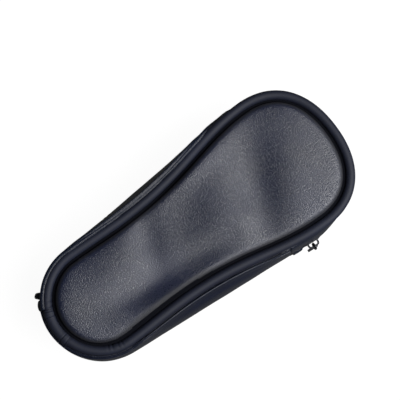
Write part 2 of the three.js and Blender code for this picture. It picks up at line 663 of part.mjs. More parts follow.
// End tabs: leather folded over the zip's two ends, each standing proud of the wall.
const tabHalf = WINDOW - CLEAR;
const tabBack = -TAPE_DEPTH + TAPE / 2 + CLEAR;
function tabSection(proud, corner) {
  const shoulderOut = Math.max(0.1, proud - TAB_SHOULDER);
  const side = shoulderOut * 0.4;
  return [
    [tabBack, MID_Z - tabHalf], [side, MID_Z - tabHalf], [shoulderOut, MID_Z - tabHalf + corner],
    [proud, MID_Z],
    [shoulderOut, MID_Z + tabHalf - corner], [side, MID_Z + tabHalf], [tabBack, MID_Z + tabHalf],
  ];
}
piece(baseGroup, 'zip_tab_head', wallBlock(headTabFrom, headTabFrom + HEAD_TAB, () =>
  tabSection(HEAD_TAB_PROUD, HEAD_TAB_CORNER)), leather);

// The tail's tab is folded twice: a short lump next to the zip, a nip, and a longer, lower lump.
const TAIL_LUMPS = [
  [0, 1.6], [0.1, 2.5], [0.28, 2.5], [0.38, 0.6], [0.46, 1.3], [0.7, 1.7], [0.92, 1.3], [1, 0.5],
];
const tailProud = (share) => TAIL_LUMPS.find(([at]) => at === share)[1];
piece(baseGroup, 'zip_tab_tail', wallBlock(tailTabFrom, tailTabFrom + TAIL_TAB,
  (share) => tabSection(tailProud(share), TAIL_TAB_CORNER), TAIL_LUMPS.map(([at]) => at)), leather);

// ---------- slider, link and pull ----------
// Built flat: x towards the nose, y away from the wall, z up, then turned to its place on the arc.
sliderGroup.position.set(WALL_HEAD_X, 0, MID_Z);
sliderGroup.rotation.z = sliderAngle - Math.PI / 2;
const shift = (geometry, x, y, z) => geometry.translate(x, y, z);

function roundedSlab(points, radius, thickness) {
  const shape = new THREE.Shape();
  points.forEach(([x, y], i) => {
    const [px, py] = points[(i + points.length - 1) % points.length];
    const [qx, qy] = points[(i + 1) % points.length];
    const before = new THREE.Vector2(px - x, py - y);
    const after = new THREE.Vector2(qx - x, qy - y);
    const r = Math.min(radius, before.length() / 2.2, after.length() / 2.2);
    before.setLength(r);
    after.setLength(r);
    if (i === 0) shape.moveTo(x + before.x, y + before.y);
    else shape.lineTo(x + before.x, y + before.y);
    shape.quadraticCurveTo(x, y, x + after.x, y + after.y);
  });
  shape.closePath();
  return new THREE.ExtrudeGeometry(shape, { depth: thickness, bevelEnabled: false, curveSegments: 3 });
}

// Drawn in x and z, thick along y from 'low' upward.
const upright = (geometry, low, thickness) => shift(geometry.rotateX(Math.PI / 2), 0, low + thickness, 0);

const chainFront = -TAPE_DEPTH + TEETH_THICK / 2 + SLIDE_GAP;
const chainBack = -TAPE_DEPTH - TEETH_THICK / 2 - SLIDE_GAP;
const lipFront = -TAPE_DEPTH + TAPE / 2 + SLIDE_GAP;
const lipBack = -TAPE_DEPTH - TAPE / 2 - SLIDE_GAP;
const channel = RAIL_OUT + SLIDE_GAP;

function wingOutline() {
  const n = SLIDER_LENGTH / 2;
  const wide = SLIDER_NOSE / 2;
  const rear = SLIDER_REAR / 2;
  return [[-n, -rear], [n * 0.2, -rear - 0.1], [n * 0.75, -wide], [n, -wide * 0.55], [n * 0.82, 0],
    [n, wide * 0.55], [n * 0.75, wide], [n * 0.2, rear + 0.1], [-n, rear]];
}

function sliderGeometry() {
  const n = SLIDER_LENGTH / 2;
  const wing = (low) => upright(roundedSlab(wingOutline(), 0.9, WING), low, WING);
  const lip = (side, low, high) => {
    const wide = SLIDER_NOSE / 2;
    const rear = SLIDER_REAR / 2;
    const outline = [[-n + 0.5, side * channel], [n * 0.7, side * channel], [n * 0.7, side * wide],
      [n * 0.15, side * (rear + 0.1)], [-n + 0.5, side * rear]];
    return upright(roundedSlab(side > 0 ? outline : outline.reverse(), 0.2, high - low), low, high - low);
  };
  const post = upright(roundedSlab([[n * 0.38, 0], [n * 0.6, -0.8], [n * 0.8, 0], [n * 0.6, 0.8]], 0.3,
    chainFront - chainBack + 0.4), chainBack - 0.2, chainFront - chainBack + 0.4);
  const overlap = 0.2;
  return joined(wing(chainFront), wing(chainBack - WING), post,
    lip(1, lipFront, chainFront + overlap), lip(-1, lipFront, chainFront + overlap),
    lip(1, chainBack - overlap, lipBack), lip(-1, chainBack - overlap, lipBack),
    archGeometry(chainFront + WING));
}

const wingFace = chainFront + WING;
const barReach = Math.hypot(BAR_H, BAR_T) / 2;
const linkR = barReach + CLEAR + WIRE_R;
const barY = wingFace + LINK_GAP + WIRE_R + linkR;

// The arch springs from the front wing at both ends; the link passes under its bar.
function archGeometry(foot) {
  const n = ARCH_HALF;
  const leg = ARCH_LEG;
  const top = barY + BAR_T / 2;
  const under = barY - BAR_T / 2;
  const shape = new THREE.Shape();
  shape.moveTo(-n, foot - 0.2);
  shape.bezierCurveTo(-n, top - 0.6, -n + 0.6, top, -n + 1.8, top);
  shape.lineTo(n - 1.8, top);
  shape.bezierCurveTo(n - 0.6, top, n, top - 0.6, n, foot - 0.2);
  shape.lineTo(n - leg, foot - 0.2);
  shape.bezierCurveTo(n - leg, under - 0.3, n - leg - 0.2, under, n - leg - 0.9, under);
  shape.lineTo(-n + leg + 0.9, under);
  shape.bezierCurveTo(-n + leg + 0.2, under, -n + leg, under - 0.3, -n + leg, foot - 0.2);
  shape.closePath();
  const bar = new THREE.ExtrudeGeometry(shape, { depth: BAR_H, bevelEnabled: false, curveSegments: 4 });
  return shift(bar, 0, 0, -BAR_H / 2);
}

piece(sliderGroup, 'zip_slider', shift(sliderGeometry(), 0, WALL_HEAD_R, 0), metal);

// Oval wire link round the arch's bar, hanging.
function linkGeometry() {
  const sides = 8;
  const turn = 8;
  const centres = [];
  for (let i = 0; i <= turn; i += 1) centres.push([Math.PI * i / turn, 0]);
  for (let i = 0; i <= turn; i += 1) centres.push([Math.PI + Math.PI * i / turn, -LINK_DROP]);
  const points = [];
  for (const [a, z] of centres) {
    for (let j = 0; j < sides; j += 1) {
      const b = 2 * Math.PI * j / sides;
      const r = linkR + WIRE_R * Math.cos(b);
      points.push([WIRE_R * Math.sin(b), barY + r * Math.cos(a), z + r * Math.sin(a)]);
    }
  }
  const faces = [];
  const n = centres.length;
  for (let i = 0; i < n; i += 1) {
    for (let j = 0; j < sides; j += 1) {
      const a = i * sides + j;
      const b = ((i + 1) % n) * sides + j;
      const c = ((i + 1) % n) * sides + (j + 1) % sides;
      const d = i * sides + (j + 1) % sides;
      faces.push([a, b, c], [a, c, d]);
    }
  }
  return solid(points, faces);
}
piece(sliderGroup, 'pull_link', shift(linkGeometry(), 0, WALL_HEAD_R, 0), metal);

// Flat pull with an eye at its top, hung on the link's lower bend.
function pullGeometry() {
  const wireZ = -LINK_DROP - linkR;
  const eyeTop = wireZ + WIRE_R + CLEAR;
  const top = eyeTop + EYE_WALL;
  const end = top - PULL_LENGTH;
  const a = PULL_TOP_W / 2;
  const b = PULL_END_W / 2;
  const plate = roundedSlab([[-a, top], [-b, end], [b, end], [a, top]], PULL_CORNER, PULL_T);
  const low = eyeTop - EYE_DEEP;
  const hole = [[-EYE_HALF, eyeTop], [-EYE_HALF, low], [EYE_HALF, low], [EYE_HALF, eyeTop]];
  const eye = roundedSlab(hole, 0.5, PULL_T + 2);
  const dishHalf = b - DISH_EDGE;
  const dishLow = end + DISH_EDGE;
  const dishTop = dishLow + DISH_LENGTH;
  const hollow = [[-dishHalf, dishTop], [-dishHalf, dishLow], [dishHalf, dishLow], [dishHalf, dishTop]];
  const dish = roundedSlab(hollow, 1.2, 2 * DISH_DEEP);
  const middle = barY - PULL_T / 2;
  return cut(upright(plate, middle, PULL_T), upright(eye, middle - 1, PULL_T + 2),
    upright(dish, middle + PULL_T - DISH_DEEP, 2 * DISH_DEEP));
}
piece(sliderGroup, 'pull_tab', shift(pullGeometry(), 0, WALL_HEAD_R, 0), metal);

export default caseGroup;
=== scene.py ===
"""Looks of the padded zip case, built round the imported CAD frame.

Lengths are millimetres, up to mesh_piece() and in all but the camera, the stage and the lamp. The welt line is the
piping's centre line seen from above, and a run is a distance along it from the tail's tip.
"""

import math

import bmesh
import bpy
import numpy as np
from mathutils import Matrix, Vector, noise


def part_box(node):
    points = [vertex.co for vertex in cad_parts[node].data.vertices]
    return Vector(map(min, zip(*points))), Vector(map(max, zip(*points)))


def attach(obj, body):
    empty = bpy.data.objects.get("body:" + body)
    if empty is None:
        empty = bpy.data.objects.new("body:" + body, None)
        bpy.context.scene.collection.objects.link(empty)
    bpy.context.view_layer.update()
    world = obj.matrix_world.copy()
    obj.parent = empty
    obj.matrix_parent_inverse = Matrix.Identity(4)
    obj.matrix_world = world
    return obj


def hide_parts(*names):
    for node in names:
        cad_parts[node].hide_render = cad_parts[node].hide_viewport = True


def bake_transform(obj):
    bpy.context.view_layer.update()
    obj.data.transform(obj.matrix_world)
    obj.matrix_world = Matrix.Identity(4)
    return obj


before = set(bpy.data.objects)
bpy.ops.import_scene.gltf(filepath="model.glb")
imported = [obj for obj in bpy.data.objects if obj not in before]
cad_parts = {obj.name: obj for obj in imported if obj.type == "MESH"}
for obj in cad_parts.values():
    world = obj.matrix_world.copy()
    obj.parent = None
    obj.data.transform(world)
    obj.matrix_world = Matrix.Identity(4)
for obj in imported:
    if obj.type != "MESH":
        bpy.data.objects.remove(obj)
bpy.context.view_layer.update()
MM = 0.001


# ---------- sizes: the CAD's driving dimensions ----------
PIPING_R, PIPING_SKIN = 2.6, 0.6
LID_Z, BASE_Z = 46.0, 3.4  # the two welts' centres
MID_Z = (LID_Z + BASE_Z) / 2
GAP = LID_Z - BASE_Z
TAIL_X, TAIL_R = -62.9, 28.4  # the welt line's round tail, narrowest place and widest place
WAIST_X, WAIST_HALF = -30.0, 27.6
HEAD_X, HEAD_HALF, HEAD_TIP = 60.0, 39.1, 94.0
TAIL_EASE, WAIST_EASE, HEAD_EASE = 12, 45, 30  # Bezier handles between them
HEAD_FULL = 0.63  # and round the head's end, as a share of its depth and half width
TAIL_BULGE, HEAD_BULGE, TIP_BULGE = 5.3, 3.9, 2.6  # wall at zip height, out from the welt line
BULGE_POWER = 2.6
WALL_R0 = 0.2  # least bulge
CLEAR = 0.3
LEATHER = 1.1
LINING_T = 0.75
SEAM_TILT = math.radians(25)  # the seam's leathers dip inward
SEAM_MOUTH, SEAM_END = 3.0, 6.5  # in from the welt's centre along the seam
BINDING_T, BINDING_GRIP = 0.65, 1.7  # tape folded over the seam's end, and how far it reaches back
EDGE = 8.7  # pads' and linings' edge, in from the welt line
WINDOW = 5.5  # half the gap between the bands, where the zip shows
TAPE_TUCK = 3  # zip tape behind each band's edge
TAPE_DEPTH = 2.461  # tape's middle, behind the wall's face
LINING_BACK = TAPE_DEPTH + 0.85
HEAD_SEAM_BACK = 16.6  # hinge strip meets the bands this far back from the head arc's centre
TAIL_SEAM = 156.2  # and at this angle round the tail's centre, in degrees
SLEEVE_FROM, SLEEVE_TO = 157, 192  # piping's joint sleeve, in the same degrees
TAB_GAP = 0.6  # zip's end tabs, from the seams beside them
HEAD_TAB, TAIL_TAB = 6.5, 10
STOP_FROM_TAB, TOP_STOP = 0.333, 1.3
SLIDER_LENGTH = 9
TEETH_HELD = 1.62  # row's start, behind the slider's middle
TEETH_PITCH = 3.6  # nearly: a whole number of teeth is fitted
TEETH_END = 3.325  # row's end, from the tail's tab

WALL_TAIL_R = TAIL_R + TAIL_BULGE
WALL_HEAD_R = HEAD_HALF + HEAD_BULGE
WALL_HEAD_X = HEAD_TIP + TIP_BULGE - WALL_HEAD_R
HEAD_SEAM_X = WALL_HEAD_X - HEAD_SEAM_BACK
LEG = CLEAR / 2 + PIPING_SKIN  # outer faces of the piping's two seam legs, from the seam's middle
STACK = LEG + CLEAR + LEATHER  # and of the leather on each leg
WALL_TOP = PIPING_R + CLEAR + 0.15
BAND_EDGE = GAP / 2 - WINDOW

BOX_TOLERANCE = 0.5


def mm_box(node):
    low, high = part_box(node)
    return np.array(low) / MM, np.array(high) / MM


def check_sizes():
    """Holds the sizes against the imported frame, so that a changed CAD model stops the script."""
    low, high = mm_box("lid_piping_cover")
    bottom = mm_box("base_piping_cover")[0][2]
    for measured, expected in (
        (high[2], LID_Z + PIPING_R), (bottom, BASE_Z - PIPING_R), (low[0], TAIL_X - TAIL_R - PIPING_R),
        (high[0], HEAD_TIP + PIPING_R), (high[1], HEAD_HALF + PIPING_R),
    ):
        assert abs(measured - expected) < BOX_TOLERANCE


check_sizes()


# ---------- camera ----------
def make_camera():
    """Nearly straight down, from a little towards the picture's lower edge. The case lies turned in the picture.
    Returns the picture's right and up, level with the floor."""
    tilt, roll, distance = math.radians(6.7), math.radians(0.17), 800 * MM
    target = Vector((12.37, 10.98, 46)) * MM
    up = Vector((0.5949, 0.8038, 0))
    forward = (up * math.sin(tilt) - Vector((0, 0, 1)) * math.cos(tilt)).normalized()
    right = forward.cross(up).normalized()
    above = right.cross(forward)
    x = right * math.cos(roll) + above * math.sin(roll)
    y = above * math.cos(roll) - right * math.sin(roll)
    data = bpy.data.cameras.new("camera")
    data.sensor_width = 36
    data.lens = 132.2
    data.clip_start, data.clip_end = 0.01, 20
    camera = bpy.data.objects.new("camera", data)
    bpy.context.scene.collection.objects.link(camera)
    turn = Matrix((x, y, -forward)).transposed().to_4x4()
    camera.matrix_world = Matrix.Translation(target - forward * distance) @ turn
    bpy.context.scene.camera = camera
    return right, up


PICTURE_RIGHT, PICTURE_UP = make_camera()


# ---------- outline ----------
CURVE_POINTS = 400  # on each arc and Bezier curve of the welt line


def bezier(a, b, c, d):
    t = np.linspace(0, 1, CURVE_POINTS, endpoint=False)[:, None]
    a, b, c, d = (np.array(p, float) for p in (a, b, c, d))
    return (1 - t) ** 3 * a + 3 * (1 - t) ** 2 * t * b + 3 * (1 - t) * t**2 * c + t**3 * d


def half_outline():
    """The welt line's -Y half, from the tail's tip to the head's tip."""
    turn = np.linspace(math.pi, 1.5 * math.pi, CURVE_POINTS, endpoint=False)
    tail, waist = (TAIL_X, -TAIL_R), (WAIST_X, -WAIST_HALF)
    head, tip = (HEAD_X, -HEAD_HALF), (HEAD_TIP, 0)
    depth = HEAD_TIP - HEAD_X
    return np.vstack([
        np.c_[TAIL_X + TAIL_R * np.cos(turn), TAIL_R * np.sin(turn)],
        bezier(tail, (TAIL_X + TAIL_EASE, -TAIL_R), (WAIST_X - TAIL_EASE, -WAIST_HALF), waist),
        bezier(waist, (WAIST_X + WAIST_EASE, -WAIST_HALF), (HEAD_X - HEAD_EASE, -HEAD_HALF), head),
        bezier(head, (HEAD_X + HEAD_FULL * depth, -HEAD_HALF), (HEAD_TIP, -HEAD_FULL * HEAD_HALF), tip),
        [tip],
    ])


def lengths(points):
    """Distance along a line of points at each of them."""
    return np.r_[0, np.cumsum(np.hypot(*np.diff(points, axis=0).T))]


def outward(points):
    """Unit normals of the welt line's points."""
    step = np.gradient(points, axis=0)
    step[0] = step[-1] = (0, -1)
    step /= np.linalg.norm(step, axis=1)[:, None]
    return np.c_[step[:, 1], -step[:, 0]]


HALF = half_outline()
WELT = np.vstack([HALF, (HALF * (1, -1))[::-1][1:]])
NORMAL = outward(WELT)
RUN = lengths(WELT)
ROUND = RUN[-1]  # all the way round


def wall_distance(x, y):
    """How far a point lies outside the wall at zip height: a circle at each end and the straight sides between."""
    h = WALL_HEAD_X - TAIL_X
    s = (WALL_HEAD_R - WALL_TAIL_R) / h
    c = math.sqrt(1 - s * s)
    ahead, out = x - TAIL_X, np.abs(y)
    k = out * s + ahead * c
    side = out * c - ahead * s - WALL_TAIL_R
    tail = np.hypot(out, ahead) - WALL_TAIL_R
    head = np.hypot(out, ahead - h) - WALL_HEAD_R
    return np.where(k < 0, tail, np.where(k > c * h, head, side))


class Stations:
    """Places along the welt line at given runs: point, outward normal, and how far out the wall bulges there."""

    def __init__(self, runs):
        self.run = np.asarray(runs, float)
        r = self.run % ROUND
        self.p = np.c_[np.interp(r, RUN, WELT[:, 0]), np.interp(r, RUN, WELT[:, 1])]
        n = np.c_[np.interp(r, RUN, NORMAL[:, 0]), np.interp(r, RUN, NORMAL[:, 1])]
        self.n = n / np.linalg.norm(n, axis=1)[:, None]
        bulge = np.zeros(len(r))
        for _ in range(14):  # steps enough to settle on the wall
            q = self.p + self.n * bulge[:, None]
            bulge -= wall_distance(q[:, 0], q[:, 1])
        self.bulge = np.maximum(bulge, WALL_R0)

    def __len__(self):
        return len(self.run)


def whole(spacing):
    n = 2 * round(ROUND / spacing / 2)
    return Stations(np.arange(n) * ROUND / n)


def steps(start, stop, spacing):
    return np.linspace(start, stop, max(2, round((stop - start) / spacing)) + 1)


def tail_run(angle):
    """The run at an angle in degrees round the tail's centre; it is negative before the tail's tip."""
    return math.radians(angle - 180) * TAIL_R


HEAD_SEAM = RUN[np.nonzero(HALF[:, 0] < HEAD_SEAM_X)[0][-1]]
TAIL_SEAM_RUN = ROUND + tail_run(TAIL_SEAM)


# ---------- meshes ----------
def mesh_piece(name, points, faces, material, uvs=None, smooth=True):
    """points in millimetres; uvs, one per point, also in millimetres."""
    mesh = bpy.data.meshes.new(name)
    mesh.from_pydata((np.asarray(points, float) * MM).tolist(), [], [list(map(int, f)) for f in faces])
    mesh.validate()
    if smooth:
        mesh.polygons.foreach_set("use_smooth", [True] * len(mesh.polygons))
    if uvs is not None:
        layer = mesh.uv_layers.new(name="weave")
        at = np.zeros(len(mesh.loops), np.int32)
        mesh.loops.foreach_get("vertex_index", at)
        layer.data.foreach_set("uv", (np.asarray(uvs, float)[at] * MM).astype(np.float32).ravel())
    obj = bpy.data.objects.new(name, mesh)
    bpy.context.scene.collection.objects.link(obj)
    mesh.materials.append(material)
    return obj


def clean(obj, merge, dissolve=False):
    """Merges points nearer than merge, in metres, and turns every face outward."""
    work = bmesh.new()
    work.from_mesh(obj.data)
    bmesh.ops.remove_doubles(work, verts=work.verts, dist=merge)
    if dissolve:
        bmesh.ops.dissolve_degenerate(work, edges=work.edges, dist=1e-7)
    bmesh.ops.recalc_face_normals(work, faces=work.faces)
    work.to_mesh(obj.data)
    work.free()
    return obj


def ring_faces(a, b, m):
    """Quads between two closed rings of m points that start at a and b."""
    return [(a + j, b + j, b + (j + 1) % m, a + (j + 1) % m) for j in range(m)]


def loft(name, stations, section, material, closed):
    """A closed section, (stations, points, 2) of [outward, height], along stations. Open runs get end caps."""
    n, m = section.shape[:2]
    points = np.zeros((n, m, 3))
    points[..., :2] = stations.p[:, None] + stations.n[:, None] * section[..., :1]
    points[..., 2] = section[..., 1]
    faces = []
    for i in range(n if closed else n - 1):
        faces += ring_faces(i * m, (i + 1) % n * m, m)
    if not closed:
        for row in (0, n - 1):
            for j in range(m // 2 - 1):
                cap = (j, j + 1, m - 2 - j, m - 1 - j)
                faces.append([row * m + q for q in (cap if row == 0 else cap[::-1])])
    uv = np.zeros((n, m, 2))
    uv[..., 0] = stations.run[:, None]
    uv[..., 1] = lengths(section[n // 2])
    return clean(mesh_piece(name, points.reshape(-1, 3), faces, material, uv.reshape(-1, 2)), 1e-7)


def sheet_section(outer, thickness):
    """Closed sections of a sheet whose one face is outer, (stations, points, 2), its thickness to the run's left."""
    d = np.gradient(outer, axis=1)
    d /= np.linalg.norm(d, axis=2)[..., None]
    away = np.stack([d[..., 1], -d[..., 0]], -1)
    inner = outer - away * thickness
    half = thickness / 2

    def end(i, sign):
        centre = (outer[:, i] + inner[:, i]) / 2
        out, on = away[:, i] * half, sign * d[:, i] * half
        turns = [math.pi * k / 4 for k in (1, 2, 3)]
        return np.stack([centre + out * math.cos(a) + on * math.sin(a) for a in turns], 1)

    return np.concatenate([outer, end(-1, 1), inner[:, ::-1], end(0, -1)[:, ::-1]], 1)


def polar(radius, angle):
    return np.stack([radius * np.cos(angle), radius * np.sin(angle)], -1)


def along(u, v):
    """[outward, height] of a point in the seam: u inward from the welt's centre along the tilted seam, v above it."""
    c, s = math.cos(SEAM_TILT), math.sin(SEAM_TILT)
    return np.array([-u * c - v * s, -u * s + v * c])


def curve_through(points, n):
    """n points on a smooth curve through the given ones, evenly spaced."""
    p = np.asarray(points, float)
    q = np.vstack([2 * p[0] - p[1], p, 2 * p[-1] - p[-2]])
    out = []
    for a, b, c, d in zip(q, q[1:], q[2:], q[3:]):
        for t in np.linspace(0, 1, 12, endpoint=False):
            bend = (2 * a - 5 * b + 4 * c - d) * t**2 + (3 * b - a - 3 * c + d) * t**3
            out.append(0.5 * (2 * b + (c - a) * t + bend))
    out = np.vstack([*out, p[-1]])
    run = lengths(out)
    want = np.linspace(0, run[-1], n)
    return np.c_[np.interp(want, run, out[:, 0]), np.interp(want, run, out[:, 1])]


def smooth_fade(value, start, span):
    """0 up to start, 1 from start + span on, and smooth between."""
    t = np.clip((value - start) / span, 0, 1)
    return t * t * (3 - 2 * t)


def ripple(x, y, z, size, seed):
    """Smooth noise from -1 to 1, with waves of about size."""
    x, y, z = np.broadcast_arrays(x, y, z)
    places = zip(x.ravel() / size + seed, y.ravel() / size - seed, z.ravel() / size + 2 * seed)
    return np.array([noise.noise(Vector(place)) for place in places]).reshape(x.shape)


def ripple_at(stations, z, size, seed):
    return ripple(stations.p[:, :1], stations.p[:, 1:], z, size, seed)


def bell(value, middle, width):
    return np.exp(-(((value - middle) / width) ** 2))


# ---------- materials ----------
def feed(node, inputs):
    """Sets a node's inputs. One that is given as a socket is linked."""
    for key, value in inputs.items():
        if isinstance(value, bpy.types.NodeSocket):
            node.id_data.links.new(value, node.inputs[key])
        else:
            node.inputs[key].default_value = value


def add(tree, kind, inputs, out=0, **settings):
    """A new node's output."""
    node = tree.nodes.new("ShaderNode" + kind)
    for key, value in settings.items():
        setattr(node, key, value)
    feed(node, inputs)
    return node.outputs[out]


def calc(tree, operation, *values):
    return add(tree, "Math", dict(enumerate(values)), operation=operation)


def spread(tree, value, low, high, start=0, end=1):
    """value, from start to end, taken to low to high."""
    return add(tree, "MapRange", {"Value": value, "From Min": start, "From Max": end, "To Min": low, "To Max": high})


def cloud(tree, place, scale, detail=2, roughness=0.5, out="Fac"):
    return add(tree, "TexNoise", {"Vector": place, "Scale": scale, "Detail": detail, "Roughness": roughness}, out)


def scaled(tree, color, amount):
    return add(tree, "VectorMath", {0: color, "Scale": amount}, operation="SCALE")


def relief(tree, height, strength, distance, invert=False):
    return add(tree, "Bump", {"Height": height, "Strength": strength, "Distance": distance}, invert=invert)


def new_material(name):
    material = bpy.data.materials.new(name)
    material.use_nodes = True
    tree = material.node_tree
    return material, tree, tree.nodes["Principled BSDF"]


def leather(name, color, roughness, grain, depth, specular, seam_shade=False):
    """Pebbled leather-look: cells of grain, grain in metres, with finer pores, and slow changes in colour and gloss.
    Given the seam flag, it is rougher where the mesh's seam attribute is 1, down in the seam, and darker there with
    painted shade."""
    material, tree, shader = new_material(name)
    place = add(tree, "TexCoord", {}, "Object")
    warp = cloud(tree, place, 700, out="Color")
    shift = add(tree, "VectorMath", {0: warp, 1: (0.0002, 0.0002, 0.0002)}, operation="MULTIPLY")
    moved = add(tree, "VectorMath", {0: place, 1: shift}, operation="ADD")
    cell_inputs = {"Vector": moved, "Scale": 1 / grain, "Smoothness": 0.6}
    cells = add(tree, "TexVoronoi", cell_inputs, "Distance", feature="SMOOTH_F1")
    pores = cloud(tree, place, 2.6 / grain, 3, 0.6)
    creases = spread(tree, cells, 0, 1, 0.1, 0.75)
    slow = cloud(tree, place, 30)
    shade = calc(tree, "MULTIPLY", spread(tree, slow, 0.82, 1.18, 0.3, 0.7), spread(tree, creases, 1.12, 0.7))
    tops = spread(tree, creases, roughness + 0.08 * depth, roughness - 0.06 * depth)
    gloss = calc(tree, "MULTIPLY_ADD", slow, 0.1, tops)
    # Painted shade down in the seam: the colour goes darker, and the gloss rougher.
    if seam_shade:
        wear_and_shade = add(tree, "Attribute", {}, "Fac", attribute_name="seam_shade")
        shade = calc(tree, "MULTIPLY", shade, spread(tree, wear_and_shade, 1, 0.25))
        gloss = calc(tree, "MULTIPLY_ADD", wear_and_shade, 0.45, gloss)
    feed(shader, {
        "Base Color": scaled(tree, color, shade), "Roughness": gloss, "Specular IOR Level": specular,
        "Normal": relief(tree, calc(tree, "MULTIPLY_ADD", pores, 0.45, cells), depth, 0.00025, True),
    })
    return material


def woven(name, color, across, height, roughness, sheen):
    """Plain weave from two sets of waves on the 'weave' map; across is the thread pitch in millimetres."""
    material, tree, shader = new_material(name)
    place = add(tree, "TexCoord", {}, "Object")
    split = tree.nodes.new("ShaderNodeSeparateXYZ")
    feed(split, {0: add(tree, "UVMap", {}, uv_map="weave")})

    def wave(axis, shift):
        turn = calc(tree, "MULTIPLY_ADD", split.outputs[axis], math.pi / (across * MM), shift)
        return calc(tree, "SINE", turn)

    product = calc(tree, "MULTIPLY", wave("X", 0), wave("Y", 0.6))
    level = calc(tree, "MULTIPLY_ADD", cloud(tree, place, 2600), 0.5, product)
    feed(shader, {
        "Base Color": scaled(tree, color, spread(tree, level, 0.6, 1.25, -1, 1.5)), "Roughness": roughness,
        "Sheen Weight": sheen, "Normal": relief(tree, level, height, 0.00015),
    })
    return material


def metal(name, color, roughness):
    """Plated zinc: slow stains, fine scratches, edges rubbed brighter."""
    material, tree, shader = new_material(name)
    place = add(tree, "TexCoord", {}, "Object")
    stains = cloud(tree, place, 420, 5, 0.65)
    rubbed = spread(tree, add(tree, "NewGeometry", {}, "Pointiness"), 0, 1, 0.5, 0.58)
    wear_and_shade = calc(tree, "MULTIPLY", rubbed, 0.7)
    light = calc(tree, "ADD", spread(tree, stains, 0.65, 1.15, 0.25, 0.75), wear_and_shade)
    feed(shader, {
        "Base Color": scaled(tree, color, light), "Metallic": 1,
        "Roughness": spread(tree, stains, roughness - 0.08, roughness + 0.12, 0.3, 0.7),
        "Normal": relief(tree, cloud(tree, place, 1800, 3), 0.12, 0.0001),
    })
    return material


def foam_material():
    material, tree, shader = new_material("foam")
    place = add(tree, "TexCoord", {}, "Object")
    pores = add(tree, "TexVoronoi", {"Vector": place, "Scale": 1400}, "Distance")
    feed(shader, {
        "Base Color": scaled(tree, (0.09, 0.09, 0.1), spread(tree, pores, 0.55, 1.1, 0, 0.7)), "Roughness": 0.95,
        "Normal": relief(tree, pores, 0.5, 0.0003),
    })
    return material


def plastic(name, color, roughness):
    """Moulded plastic, a little specked."""
    material, tree, shader = new_material(name)
    place = add(tree, "TexCoord", {}, "Object")
    speck = cloud(tree, place, 900, 4, 0.7)
    feed(shader, {
        "Base Color": scaled(tree, color, spread(tree, speck, 0.75, 1.3, 0.3, 0.7)),
        "Roughness": spread(tree, speck, roughness - 0.06, roughness + 0.1, 0.3, 0.7),
        "Normal": relief(tree, speck, 0.1, 0.0001),
    })
    return material


# name, colour, roughness, grain, depth of the bump, specular level, and whether it takes the seam's painted shade
SHELL = leather("shell_leather", (0.0070, 0.0118, 0.0390), 0.26, 0.0005, 0.82, 1.0, True)
STRIP = leather("strip_leather", (0.0075, 0.0110, 0.0270), 0.34, 0.0006, 0.55, 0.45)
PIPING = leather("piping_leather", (0.0070, 0.0105, 0.0275), 0.62, 0.0007, 0.08, 0.52)
WALL = leather("wall_leather", (0.0070, 0.0115, 0.0270), 0.33, 0.0006, 0.55, 0.45)
# Near-black leather for the faces deep in the seam: a painted shadow.
SEAM_SHADOW_LEATHER = leather("seam_shadow_leather", (0.0030, 0.0036, 0.0070), 0.85, 0.0006, 0.3, 0.12)
# name, colour, thread pitch, depth of the bump, roughness, sheen
TAPE = woven("zip_tape", (0.012, 0.012, 0.015), 0.5, 0.4, 0.85, 0.1)
LINING = woven("lining", (0.022, 0.023, 0.028), 0.35, 0.3, 0.9, 0.5)
BINDING = woven("binding", (0.016, 0.016, 0.02), 0.7, 0.6, 0.85, 0.2)
CORD = woven("cord", (0.42, 0.4, 0.35), 0.8, 0.6, 0.9, 0.3)
THREAD = woven("thread", (0.02, 0.02, 0.024), 0.3, 0.5, 0.6, 0.2)
FOAM_SKIN = foam_material()
TEETH = plastic("zip_teeth", (0.014, 0.014, 0.017), 0.32)
METAL = metal("zip_metal", (0.034, 0.035, 0.040), 0.26)


# ---------- forms of the two panels ----------
# The lid's dents and swells, given one by one: centre x and y, length, width, turn in degrees, height.
DENTS = [
    (-82, 8, 14, 14, -10, 1.6),
    (-46, 10, 11, 12, -20, 1.2),
    (-38, -11, 16, 7, -15, -2.6),
    (-24, -30, 20, 9, -12, 3.4),
    (-23, 12, 6, 13, -20, -1.8),
    (-9, 3, 11, 13, -20, -1.4),
    (18, -2, 9, 13, -20, 1.4),
    (25, -15, 6, 8, -20, 1.4),
    (4, -15, 13, 5, -10, -1.2),
    (16, 30, 16, 6, 5, 2.2),
    (41, -2, 9, 24, -28, -2.5),
    (68, 0, 13, 24, -30, 1.6),
]
DENT_BASE = 3.3  # the panel's rise at which the heights above hold

# Panel's face above its welt's centre, by distance in from the welt line.
LIP = [
    (2.75, 0.25), (3.2, 0.1), (3.8, 0.15), (4.2, 0.6), (4.6, 1.25), (5.0, 1.78), (5.4, 2.15), (5.8, 2.45),
    (6.2, 2.66), (6.7, 2.84), (7.4, 3.0), (9, 3.16), (12, 3.27), (14, DENT_BASE),
]
BASE_LIP = [
    (2.75, -1.3), (3.0, -0.4), (3.6, 0.6), (4.6, 1.5), (6, 2.15), (8, 2.65), (11, 3.05), (15, 3.22), (20, 3.3),
]
PANEL_EDGE = 2.75  # where the face comes out of the seam
LIT_SIDE = (0.69, -0.72)  # down and right in the photo
ROLL_OVER = 0.3  # how far the roll reaches out over the seam on that side
DULLING_SHADE_TO, DULLING_SHADE_FADE = 4.6, 2.6  # where the leather begins to come clear of the seam's dulling and painted shade, and over how far
DULLING_SHADE_WAIST, DULLING_SHADE_HALF = -36, 29  # x of the middle, and half length, of the stretch where the dulling and painted shade reach further in
DULLING_SHADE_IN = 0.9  # by this much there, and over twice as far again
SEAM_SHADOW_FROM = 0.985  # seam shade from which the faces take the near-black leather, a painted shadow


